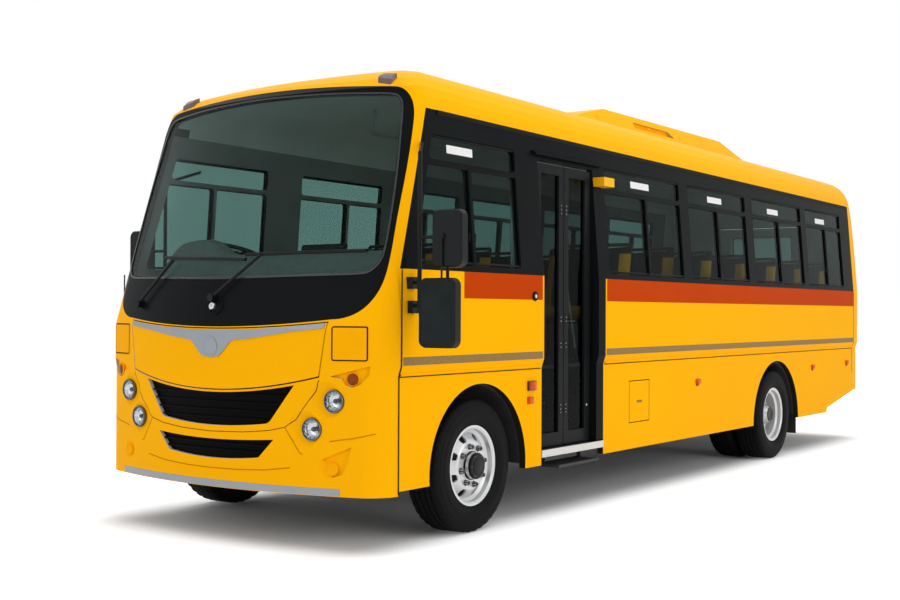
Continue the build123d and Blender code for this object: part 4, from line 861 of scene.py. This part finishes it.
# ---- Skirt hatch ----
# A sheet steel flap in the skirt, hung from its upper edge and sprayed with the side.
# It is opened by a small pull handle, held by two pins.
hatch_handle = finish("hatch handle", (0.3, 0.16, 0.01), 0.5, metallic=0.2, tone=0.3, scale=60,
    slot="silver_metal")
moulded_block("hatch_pull", (1.0975, -1.045, 0.652), (1.1025, -0.967, 0.668), 0.002, hatch_handle, "hatch")
pins = [screw((1.098, y, 0.66), (1, 0, 0), 0.008, hatch_handle, "hatch") for y in (-1.04, -0.972)]
joined(pins, "hatch_pull_pins")


# ---- Mirrors ----
# Rounded black mirror cases stand out on a steel tube that is clamped to brackets on the front seam.
# The upper case is turned on a ball; the lower one carries a convex glass on its front as well, coloured
# near black with little shine: a painted dark reflection in place of a mirror's.
mirror_black = finish("mirror black", (0.008, 0.009, 0.01), 0.35, tone=0.15, scale=12, grain=900,
    bump=0.05, specular=0.12)
dress(mirror_black, "mirrors")
mirror_glass = finish("mirror glass", (0.75, 0.78, 0.78), 0.04, metallic=1.0, tone=0.04, scale=3,
    change=0.02, bump=0.0)
# painted reflection: the front glass is coloured green-black instead of mirroring its surroundings
mirror_painted_dark_reflection = finish("dark convex glass", (0.01, 0.017, 0.018), 0.08, specular=0.12, tone=0.5, scale=7,
    change=0.02, bump=0.0)


def framed_glass(name, x0, x1, z0, z1, y, out, glass, slot):
    """A rounded mirror glass in its raised rim, facing forwards or backwards."""
    plate = upright_plate(x0, x1, z0, z1, y, -out, 0.034, 6, [mirror_black, glass])
    bpy.ops.mesh.extrude_region_move(TRANSFORM_OT_translate={"value": (0, 0.006 * out, 0)})
    bpy.ops.mesh.inset(thickness=0.004)
    bpy.ops.mesh.inset(thickness=0.008)
    bpy.ops.transform.translate(value=(0, -0.005 * out, 0))
    bpy.ops.mesh.inset(thickness=0.002)
    plate.active_material_index = 1
    bpy.ops.object.material_slot_assign()
    end_edit()
    return complete(plate, name, None, smooth=30, slot=slot)


HEADS = {"left": ((1.3, 1.492, 1.526, 1.83), (1.216, 1.45, 1.102, 1.472), 0.0),
    "right": ((-1.492, -1.3, 1.526, 1.83), (-1.45, -1.216, 1.102, 1.472), 0.34)}
STRUT_X, STRUT_Y = 1.372, -3.814
for word, (upper, lower, back) in HEADS.items():
    side = 1 if word == "left" else -1
    for label, (x0, x1, z0, z1) in (("upper", upper), ("lower", lower)):
        framed_glass(f"mirror_glass_{label}_{word}", x0 + 0.012, x1 - 0.012, z0 + 0.012, z1 - 0.012,
            -3.748 + back, 1, mirror_glass, "silver_metal")
    x0, x1, z0, z1 = lower
    framed_glass(f"mirror_front_glass_{word}", x0 + 0.006, x1 - 0.006, z0 + 0.006, z1 - 0.006,
        -3.8055 + back, -1, mirror_painted_dark_reflection, "black_plastic")
    ball = Vector((side * STRUT_X, STRUT_Y + 0.002 + back, 1.69))
    turned(f"mirror_ball_{word}", [(-10, 16), (4, 16), (10, 12), (14, 6), (15, 0), (-10, 0)], ball,
        (0, -1, 0), 20, mirror_black)
    bar(f"mirror_strut_{word}", (side * STRUT_X, STRUT_Y + back, 1.47),
        (side * STRUT_X, STRUT_Y + back, 1.68), 0.0055, mirror_black)
    heads = []
    for z in (1.318, 1.448):
        for dy in (-0.018, 0.018):
            heads.append(screw((side * 1.15, -3.74 + back + dy, z + 0.01), (side, 0, 0), 0.007,
                mirror_black))
    for z in (1.61, 1.632, 1.655):
        heads.append(screw((side * 1.188, -3.772 + back, z), (0, -1, 0), 0.007, mirror_black))
    joined(heads, f"mirror_bolts_{word}")


# ---- Rear end ----
# The back wall carries an emergency door in its middle, with a pane, hinges and a lifting handle.
# Upright lamp clusters have red, amber and clear fields; the number plate below the door is bare.
rear_lamp = finish("rear lamp red", (0.42, 0.008, 0.008), 0.2, coat=0.1, specular=0.2, tone=0.3, scale=70,
    grain=500, bump=0.3)
painted_over(rear_lamp, stretch, (0.62, 0.095, 0.003), tone=0.3, scale=70, Bottom=1.066, Top=1.3)
painted_over(rear_lamp, stretch, (0.6, 0.6, 0.58), tone=0.3, scale=70, Bottom=0.8, Top=0.93)
dress(rear_lamp, "rear_lamps")
dress(tinted_glass("rear door glass", (0.19, 0.28, 0.255), 1.08), "rear_door_glass")


REAR_FACE, LEAN_RADIUS, LEAN_START, BOW_RADIUS = 4.14, 4.4, 1.7, 5.0


def rear_y(x, z):
    """Where the back wall's surface lies below the window."""
    lean = LEAN_RADIUS - math.sqrt(LEAN_RADIUS ** 2 - max(0, z - LEAN_START) ** 2)
    return REAR_FACE - lean - (BOW_RADIUS - math.sqrt(BOW_RADIUS ** 2 - x * x))


def frame_round(name, x0, x1, z0, z1, width, rise, material, body="bus_body"):
    """A rounded rubber or plastic frame round a lamp or a pane on the back wall."""
    ring = upright_plate(x0, x1, z0, z1, 4.3, -1, width * 2, 5)
    bpy.ops.mesh.inset(thickness=width)
    bpy.ops.mesh.delete(type="FACE")
    bpy.ops.mesh.select_all(action="SELECT")
    bpy.ops.mesh.subdivide(number_cuts=2)
    bpy.ops.object.mode_set(mode="OBJECT")
    for vertex in ring.data.vertices:
        vertex.co.y = rear_y(vertex.co.x, vertex.co.z) + 0.0005
    press(ring, "SOLIDIFY", thickness=rise, offset=1.0)
    press(ring, "BEVEL", width=rise * 0.3, segments=2, limit_method="ANGLE")
    complete(ring, name, material, body)


frame_round("rear_window_rubber", -0.352, 0.352, 1.588, 2.142, 0.022, 0.007, window_rubber,
    "rear_emergency_door")
for side, word in SIDES:
    x0, x1 = sorted((side * 0.72, side * 0.88))
    frame_round(f"rear_lamp_rim_{word}", x0, x1, 0.822, 1.188, 0.01, 0.012, dark_rim)
moulded_block("number_plate_blank", (-0.255, rear_y(0, 0.86) - 0.004, 0.8),
    (0.255, rear_y(0, 0.86) + 0.006, 0.915), 0.002, label_white, slot="silver_metal")
hinges = []
for z in (1.2, 1.64, 2.08):
    y = rear_y(0.455, z)
    hinges.append(moulded_block("hinge", (-0.478, y - 0.004, z - 0.05), (-0.458, y + 0.012, z + 0.05),
        0.004, shell_paint))
joined(hinges, "rear_door_hinges")
turned("rear_handle_plate", [(-2, 30), (4, 30), (7, 26), (7, 0), (-2, 0)],
    (0.385, rear_y(0.385, 1.42), 1.42), (0, 1, 0), 28, bolt_steel, "rear_emergency_door")
moulded_block("rear_handle_lever", (0.255, rear_y(0.32, 1.42) + 0.008, 1.408),
    (0.397, rear_y(0.32, 1.42) + 0.026, 1.432), 0.006, bolt_steel, "rear_emergency_door", segments=3)


# ---- Wheels ----
# Pressed steel rims in bright silver paint hold eight hub nuts round a black cap over the hub.
# Every nut is a zinc-dark hexagon on a washer; the rear wheels are twin rims bolted back to back.
WHEEL_PAINT = {"metallic": 0.45, "tone": 0.07, "scale": 12, "grain": 500, "bump": 0.03}
wheel_silver = finish("wheel silver", (0.63, 0.64, 0.65), 0.3, **WHEEL_PAINT)
rear_silver = finish("rear wheel silver", (0.63, 0.64, 0.65), 0.3, **WHEEL_PAINT)
nut_dark = finish("wheel nut steel", (0.05, 0.05, 0.05), 0.4, metallic=0.2, tone=0.3, scale=90,
    slot="silver_metal")
hub_black = finish("hub cap black", (0.005, 0.005, 0.006), 0.32, tone=0.25, scale=30, specular=0.15)
FRONT_AXLE = Vector((0.95, -3.042, 0.392))
REAR_AXLE = Vector((0.8325, 1.68, 0.392))


def copied(piece, move, flip=False):
    """A copy of a finished piece with its own mesh, moved by a matrix."""
    copy = piece.copy()
    copy.data = piece.data.copy()
    bpy.context.scene.collection.objects.link(copy)
    copy.data.transform(move)
    if flip:
        copy.data.flip_normals()
    return copy


def ring_of(piece, count, centre, name):
    """Copies a finished piece round the axle line and joins the ring."""
    copies = [piece]
    for step in range(1, count):
        spin = Matrix.Rotation(2 * math.pi * step / count, 4, "X")
        copies.append(copied(piece, Matrix.Translation(centre) @ spin @ Matrix.Translation(-centre)))
    return joined(copies, name)


NUT_CIRCLE = 0.114


def wheel_nut(side, centre, face, body):
    """A hexagon nut with its stud's end, on a round washer."""
    angle = 2 * math.pi * 0.25 / 8
    y = centre.y + NUT_CIRCLE * math.cos(angle)
    z = centre.z + NUT_CIRCLE * math.sin(angle)
    along = (side, 0, 0)
    washer = turned("washer", [(-1, 19), (2, 19), (3, 17.5), (3, 0), (-1, 0)], (side * face, y, z), along,
        20, nut_dark, body)
    bpy.ops.mesh.primitive_cylinder_add(vertices=6, radius=0.016, depth=0.024,
        location=(side * (face + 0.0125), y, z), rotation=(0, math.pi / 2, 0))
    nut = bpy.context.object
    press(nut, "BEVEL", width=0.0022, segments=2, limit_method="ANGLE")
    complete(nut, "nut", nut_dark, body)
    stud = turned("stud", [(20, 8), (29, 8), (31, 6), (31, 0), (20, 0)], (side * face, y, z), along, 12,
        nut_dark, body)
    return joined([nut, washer, stud], "nut")


# the brake drum and the hub behind the disc stay in bare dark iron
DRUM_RADIUS = 0.1515
drum_iron, given, result = new_group("drum iron", [("Face", "Float", 1.0),
    ("Centre", "Vector", (0, 0, 0))], [("Mask", "Float")])
place = add(drum_iron, "TexCoord"), "Object"
parts = add(drum_iron, "SeparateXYZ", {"Vector": place})
behind = calculated(drum_iron, "LESS_THAN", calculated(drum_iron, "ABSOLUTE", (parts, "X")),
    (given, "Face"))
spoke = vectors(drum_iron, "MULTIPLY", vectors(drum_iron, "SUBTRACT", place, (given, "Centre")), (0, 1, 1))
within = calculated(drum_iron, "LESS_THAN", vectors(drum_iron, "LENGTH", spoke), DRUM_RADIUS)
feed(drum_iron, result, {"Mask": calculated(drum_iron, "MULTIPLY", behind, within)})
DRUM_BLACK = (0.02, 0.02, 0.02)
painted_over(wheel_silver, drum_iron, DRUM_BLACK, tone=0.3, scale=20, Face=1.0285, Centre=FRONT_AXLE)
painted_over(rear_silver, drum_iron, DRUM_BLACK, tone=0.3, scale=20, Face=0.831, Centre=REAR_AXLE)
# black rings just behind each disc's hand holes, partly the brake's backing plate, set there so that the
# holes read dark: painted shadow
HAND_HOLE_SHADOW_RINGS = {"front": [(64, 150), (22, 193), (18, 192), (60, 149)],
    "rear": [(-6, 154), (86, 194), (82, 195), (-10, 155)]}
HUB_CAPS = {"front": [(74, 85), (92, 85), (98, 82), (100, 77.5), (126, 77.5), (131.5, 75), (134, 68),
    (134.5, 56), (133, 52), (137.5, 48), (140, 30), (140.5, 0), (74, 0)],
    "rear": [(50, 85), (158, 85), (162, 81), (190, 66), (204.5, 63.5), (207.5, 60), (207.5, 42), (206, 38),
    (206, 0), (50, 0)]}
for side, word in SIDES:
    for label, axle, nut_face, paint in (("front", FRONT_AXLE, 1.038, wheel_silver),
            ("rear", REAR_AXLE, 0.8445, rear_silver)):
        dress(paint, f"wheel_{label}_{word}")
        body = f"{label}_wheel_{word}"
        centre = Vector((side * axle.x, axle.y, axle.z))
        ring_of(wheel_nut(side, centre, nut_face, body), 8, centre, f"wheel_nuts_{label}_{word}")
        turned(f"hand_hole_shadow_{label}_{word}", HAND_HOLE_SHADOW_RINGS[label], centre, (side, 0, 0), 40, hub_black,
            body)
        turned(f"hub_cap_{label}_{word}", HUB_CAPS[label], centre, (side, 0, 0), 48, hub_black, body)
        if label == "front":
            ring = screw(centre + Vector((side * 0.1345, 0.064, 0)), (side, 0, 0), 0.006, nut_dark, body)
            ring_of(ring, 6, centre, f"hub_screws_front_{word}")


# ---- Tyres ----
# Plain black radial bus tyres: bead, sidewall with two fine mould rings, ribbed tread, notched shoulders.
# One outline is spun for each tyre, and the rear ones stand in pairs on each wheel.
tyre_rubber = finish("tyre rubber", (0.0075, 0.0075, 0.008), 0.62, tone=0.25, scale=9, grain=600,
    bump=0.12, specular=0.06, slot="rubber_tyre")
HALF_TYRE = [(86, 224.5), (93, 236), (103, 241), (106, 247), (107.2, 250), (105.8, 253), (111, 268),
    (115, 286), (116.8, 302), (117, 312), (115.5, 315), (116, 325), (113.5, 340), (114.5, 342.5),
    (114, 347.5), (111.5, 350), (109, 362), (105, 374), (98.5, 384), (93, 388.5), (88, 390.3), (64, 391.2),
    (62, 383), (54.5, 383), (52.5, 391.5), (26, 392), (24, 383.5), (16.5, 383.5), (14.5, 392)]
TYRE_STEPS = 120
GROOVE_RADIUS, SHOULDER, NOTCH_DEPTH, NOTCH_EVERY = 0.3835, 0.08, 0.0055, 3
for side, word in SIDES:
    for label, x, axle, body, node in (("front", 0.95, FRONT_AXLE, f"front_wheel_{word}",
            f"tyre_front_{word}"), ("rear_outer", 0.965, REAR_AXLE, f"rear_wheel_{word}",
            f"tyres_rear_{word}"), ("rear_inner", 0.7, REAR_AXLE, f"rear_wheel_{word}",
            f"tyres_rear_{word}")):
        outline = HALF_TYRE + [(-across, radius) for across, radius in reversed(HALF_TYRE)]
        middle = Vector((side * x, axle.y, axle.z))
        tyre = turned(f"tyre_{label}_{word}", outline, middle, (1, 0, 0), TYRE_STEPS, tyre_rubber, body,
            smooth=30)
        for vertex in tyre.data.vertices:
            spoke = Vector((0, vertex.co.y - middle.y, vertex.co.z - middle.z))
            width = abs(vertex.co.x - middle.x)
            if spoke.length > GROOVE_RADIUS and width > SHOULDER:
                step = round(math.atan2(spoke.z, spoke.y) / (2 * math.pi) * TYRE_STEPS)
                if step % NOTCH_EVERY == 0:
                    vertex.co -= spoke.normalized() * NOTCH_DEPTH
        if label != "rear_inner":
            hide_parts(node)


# ---- Chassis and axles ----
# A ladder of riveted steel channel with cross members, springs and axles, all in satin black chassis paint.
# The engine is cast iron, the silencer aluminised sheet, and the liners over the wheels black plastic.
chassis_black = finish("chassis black", (0.02, 0.02, 0.021), 0.55, tone=0.35, scale=9, bump=0.1,
    slot="chassis_black")
dress(chassis_black, "frame_rails", "frame_members", "tow_brackets", "leaf_springs", "front_axle_beam",
    "knuckle_left", "knuckle_right", "rear_axle", "fuel_tank")
dress(finish("cast iron", (0.05, 0.05, 0.05), 0.7, metallic=0.4, tone=0.4, scale=12, grain=220, bump=0.5),
    "engine_block")
pipe_steel = finish("aluminised pipe", (0.16, 0.15, 0.14), 0.5, metallic=0.7, tone=0.4, scale=6, bump=0.08,
    slot="chassis_black")
dress(pipe_steel, "exhaust")
dress(finish("wheel guard plastic", (0.012, 0.012, 0.012), 0.6, tone=0.3, scale=20, grain=260, bump=0.3),
    "wheel_guards")
for side, word in SIDES:
    flank_block(f"flap_strip_{word}", side, 0.6, 1.035, (2.3005, 0.7175), (0.002, 0.025), 0.0008,
        sill_silver, 1)
tank_straps = []
for y in (-1.35, -0.75):
    tank_straps.append(moulded_block("strap", (-0.9635, y - 0.022, 0.3965), (-0.4785, y + 0.022, 0.7155),
        0.003, pipe_steel, segments=1))
joined(tank_straps, "fuel_tank_straps")
turned("fuel_cap", [(-4, 45), (22, 45), (28, 40), (28, 12), (34, 10), (34, 0), (-4, 0)],
    (-0.96, -0.7, 0.62), (-1, 0, 0), 28, chassis_black)


# ---- Floor and engine cover ----
# Plywood planks under ribbed dark vinyl; the engine stands beside the driver under a padded moulded cover.
# The underside is sealed black.
floor_vinyl = finish("floor vinyl", (0.085, 0.088, 0.092), 0.6, tone=0.2, scale=5, grain=300, bump=0.25)
painted_over(floor_vinyl, stretch, UNDERSEAL_AND_SHADE_BLACK, tone=0.3, Bottom=0.0, Top=0.895)
dress(floor_vinyl, "floor_deck")
dress(finish("engine cover grey", (0.055, 0.057, 0.06), 0.65, tone=0.15, scale=30, grain=500, bump=0.4),
    "engine_cover")


# ---- Passenger seats ----
# Fifteen benches: foam cushion and leaning back in woven yellow cloth, sewn down the middle and the edge.
# Each pair sits on a black steel tube frame screwed to the floor, with a grab rail along the back's top.
SEAT_YELLOW = (1.0, 0.4, 0.006)
WEAVE = {"scale": 40, "grain": 1600, "bump": 0.5, "slot": "seat_fabric"}
seat_cloth = finish("seat cloth", SEAT_YELLOW, 0.85, tone=0.15, specular=0.1, **WEAVE)

# the dark cloth of a bench back: its two middle panels and its head part, between yellow side bolsters
dark_panel, given, result = new_group("dark panel",
    [("Inner", "Float", 0.345), ("Outer", "Float", 0.89), ("Head", "Float", 1.725)], [("Mask", "Float")])
parts = add(dark_panel, "SeparateXYZ", {"Vector": (add(dark_panel, "TexCoord"), "Object")})
across = calculated(dark_panel, "ABSOLUTE", (parts, "X"))
past = calculated(dark_panel, "GREATER_THAN", across, (given, "Inner"))
before = calculated(dark_panel, "LESS_THAN", across, (given, "Outer"))
above = calculated(dark_panel, "GREATER_THAN", (parts, "Z"), (given, "Head"))
between = calculated(dark_panel, "MULTIPLY", past, before)
feed(dark_panel, result, {"Mask": calculated(dark_panel, "MAXIMUM", between, above)})
back_cloth = finish("bench back cloth", SEAT_YELLOW, 0.85, tone=0.15, specular=0.1, **WEAVE)
painted_over(back_cloth, dark_panel, (0.016, 0.017, 0.018), tone=0.3, scale=40)
frame_tube = finish("seat frame black", (0.015, 0.015, 0.016), 0.4, tone=0.2, scale=30,
    slot="chassis_black")


STUFFING_RISE = 0.016
SEAM_WIDTH, SEAM_DEPTH, EDGE_SEAM, EDGE_SEAM_WIDTH = 0.016, 0.007, 0.035, 0.01


def stuffed(name, low, high, voxel, lean, seams, material):
    """A foam pad: a rounded blank, meshed evenly, blown up as cloth within a limit, leaned and seamed."""
    low, high = Vector(low), Vector(high)
    pad = plain_block(low, high)
    press(pad, "BEVEL", width=min(high - low) * 0.32, segments=3)
    press(pad, "REMESH", mode="VOXEL", voxel_size=voxel)
    blank = [vertex.co.copy() for vertex in pad.data.vertices]
    cloth = pad.modifiers.new("cloth", "CLOTH")
    cloth.settings.use_pressure = True
    cloth.settings.uniform_pressure_force = 4.0
    cloth.settings.effector_weights.gravity = 0.0
    cloth.settings.tension_stiffness = 20
    cloth.settings.compression_stiffness = 20
    cloth.settings.bending_stiffness = 2
    for frame_number in range(1, 21):
        bpy.context.scene.frame_set(frame_number)
    bpy.ops.object.modifier_apply(modifier=cloth.name)
    for vertex, start in zip(pad.data.vertices, blank):
        move = vertex.co - start
        if move.length > STUFFING_RISE:
            vertex.co = start + move.normalized() * STUFFING_RISE
    bpy.context.scene.frame_set(1)
    middle = (low + high) / 2
    half = (high - low) / 2
    for vertex in pad.data.vertices:
        normal = vertex.normal.copy()
        dip = 0.0
        for seam in seams:
            dip = max(dip, math.exp(-((vertex.co.x - seam) / SEAM_WIDTH) ** 2))
        edge = min(half.x - abs(vertex.co.x - middle.x),
            max(half.y, half.z) - (abs(vertex.co.y - middle.y)
            if half.y > half.z else abs(vertex.co.z - middle.z)))
        dip = max(dip, 0.6 * math.exp(-((edge - EDGE_SEAM) / EDGE_SEAM_WIDTH) ** 2))
        vertex.co -= normal * SEAM_DEPTH * dip
    for vertex in pad.data.vertices:
        vertex.co.y += lean * (vertex.co.z - low.z)
    press(pad, "SUBSURF", levels=1, render_levels=1)
    return complete(pad, name, material, smooth=180)


def moved_copy(piece, name, offset, flip=False):
    """A copy of a finished piece, moved or first mirrored to the other side, with its own mesh."""
    mirrored = Matrix.Scale(-1 if flip else 1, 4, (1, 0, 0))
    copy = copied(piece, Matrix.Translation(offset) @ mirrored, flip)
    copy.name = name
    copy.data.name = name
    return copy


SEAT_PITCH = 0.72
FIRST_BACK_Y = -0.95
SEAT_MIDDLE_X = 0.62
BENCH_LEFT, BENCH_RIGHT, BACK_LEAN = 0.254, 0.986, 0.173
first_cushion = stuffed("bench_cushion_left_0", (BENCH_LEFT, FIRST_BACK_Y - 0.416, 1.262),
    (BENCH_RIGHT, FIRST_BACK_Y - 0.02, 1.326), 0.022, 0, [SEAT_MIDDLE_X], seat_cloth)
first_back = stuffed("bench_back_left_0", (BENCH_LEFT, FIRST_BACK_Y - 0.03, 1.3),
    (BENCH_RIGHT, FIRST_BACK_Y + 0.012, 1.79), 0.022, BACK_LEAN, [SEAT_MIDDLE_X], back_cloth)

# the bench's tubes: both ends as (along, height) from the back's foot, the radius and the number of flats
BENCH_TUBES = [((-0.3, 0.9), (-0.3, 1.262), 0.014, 12), ((-0.09, 0.9), (-0.09, 1.262), 0.014, 12),
    ((-0.34, 0.906), (-0.05, 0.906), 0.01, 8), ((-0.4, 1.254), (0, 1.254), 0.013, 12),
    ((0.004, 1.25), (0.106, 1.796), 0.013, 12)]
tubes = []
for x in (0.3, 0.94):
    for (y0, z0), (y1, z1), radius, flats in BENCH_TUBES:
        tubes.append(bar("tube", (x, FIRST_BACK_Y + y0, z0), (x, FIRST_BACK_Y + y1, z1), radius,
            frame_tube, sides=flats))
tubes.append(bar("grab", (0.3, FIRST_BACK_Y + 0.106, 1.796), (0.94, FIRST_BACK_Y + 0.106, 1.796), 0.013,
    frame_tube, sides=12))
first_frame = joined(tubes, "bench_frame_left_0")
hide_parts("seats")
for row in range(1, 7):
    offset = (0, SEAT_PITCH * row, 0)
    moved_copy(first_cushion, f"bench_cushion_left_{row}", offset)
    moved_copy(first_back, f"bench_back_left_{row}", offset)
    moved_copy(first_frame, f"bench_frame_left_{row}", offset)
for row in range(8):
    offset = (0, SEAT_PITCH * (row - 1), 0)
    moved_copy(first_cushion, f"bench_cushion_right_{row}", offset, flip=True)
    moved_copy(first_back, f"bench_back_right_{row}", offset, flip=True)
    moved_copy(first_frame, f"bench_frame_right_{row}", offset, flip=True)


# ---- Driver's place ----
# The driver sits on the right on a single padded seat behind a large black wheel on a sloping column.
# A moulded grey dashboard with a hump over its round gauges runs across under the windscreen.
driver_cloth = finish("driver seat cloth", (0.045, 0.047, 0.05), 0.85, tone=0.2, specular=0.2, **WEAVE)
driver_cushion = stuffed("driver_cushion", (-0.886, -2.896, 1.262), (-0.444, -2.5, 1.33), 0.02, 0, [],
    driver_cloth)
driver_back = stuffed("driver_back", (-0.886, -2.512, 1.3), (-0.444, -2.47, 1.788), 0.02, BACK_LEAN, [],
    driver_cloth)
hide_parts("driver_seat")
pedestal = [moulded_block("pedestal", (-0.8, -2.82, 0.9), (-0.53, -2.56, 1.236), 0.015, frame_tube)]
for x in (-0.84, -0.49):
    pedestal.append(bar("rail", (x, -2.88, 1.25), (x, -2.5, 1.25), 0.012, frame_tube, sides=12))
    pedestal.append(bar("upright", (x, -2.492, 1.25), (x, -2.394, 1.77), 0.012, frame_tube, sides=12))
joined(pedestal, "driver_seat_frame")
cab_plastic = finish("cab plastic", (0.15, 0.17, 0.162), 0.6, specular=0.2, tone=0.15, scale=20, grain=900,
    bump=0.3)
dress(cab_plastic, "dashboard", "steering_column")
rim_plastic = finish("steering wheel plastic", (0.012, 0.012, 0.013), 0.42, tone=0.2, scale=30, grain=1200,
    bump=0.25)
dress(rim_plastic, "steering_wheel")
WHEEL_TOP = Vector((-0.65, -3.29, 1.64))
COLUMN_LINE = (WHEEL_TOP - Vector((-0.65, -3.56, 0.92))).normalized()
turned("horn_pad", [(16, 60), (26, 58), (32, 48), (35, 30), (36, 0), (16, 0)], WHEEL_TOP, COLUMN_LINE, 32,
    cab_plastic, "steering_wheel")


def cowl_top(x):
    """The height of the dashboard's cowl: level, humped over the gauges, and rounded off at both ends."""
    ends = max(0.0, (abs(x) - 0.84) / 0.11)
    return 1.64 + 0.1 * math.exp(-((x + 0.64) / 0.215) ** 4) - 0.19 * ends ** 2


def cowl_place(along, up):
    x = 0.945 * (2 * along - 1)
    top = cowl_top(x)
    back, foot = -3.53, 1.436
    points = [(back, foot), (back, top - 0.045), (back - 0.008, top - 0.018), (back - 0.026, top - 0.004),
        (back - 0.052, top), (back - 0.11, top - 0.014), (back - 0.21, 0.45 * top + 0.55 * foot),
        (back - 0.265, foot)]
    step = min(int(up * (len(points) - 1) + 1e-6), len(points) - 2)
    share = up * (len(points) - 1) - step
    (y0, z0), (y1, z1) = points[step], points[step + 1]
    return (x, crossing(share, y0, y1), crossing(share, z0, z1))


laid_strip("dash_cowl", 60, 28, cowl_place, None, 0.004, cab_plastic)
moulded_block("gauge_panel", (-0.82, -3.528, 1.54), (-0.4, -3.518, 1.668), 0.004, rim_plastic, segments=3)
gauge_black = finish("gauge face black", (0.01, 0.01, 0.01), 0.3, coat=0.6, tone=0.1, scale=80)
gauges = []
for x, radius in ((-0.765, 32), (-0.67, 46), (-0.55, 46), (-0.455, 32)):
    gauges.append(turned("gauge", [(-2, radius), (6, radius), (8, radius - 3), (3, radius - 5), (3, 0),
        (-2, 0)], (x, -3.519, 1.604), (0, 1, 0), 24, gauge_black))
joined(gauges, "gauges")

# bright steel grab rails under the ceiling and a stanchion beside the steps
for x, word in ((0.42, "left"), (-0.42, "right")):
    rails = [bar("rail", (x, -2.2, 2.565), (x, 3.3, 2.54), 0.015, bolt_steel)]
    for y in (-2.15, -0.8, 0.55, 1.9, 3.25):
        z = 2.562 - 0.0045 * (y + 2.2)
        rails.append(bar("drop", (x, y, z), (x, y, z + 0.185), 0.01, bolt_steel, sides=10))
    joined(rails, f"cabin_rail_{word}")
bar("stanchion", (0.33, -1.5, 0.9), (0.33, -1.5, 2.77), 0.016, bolt_steel)
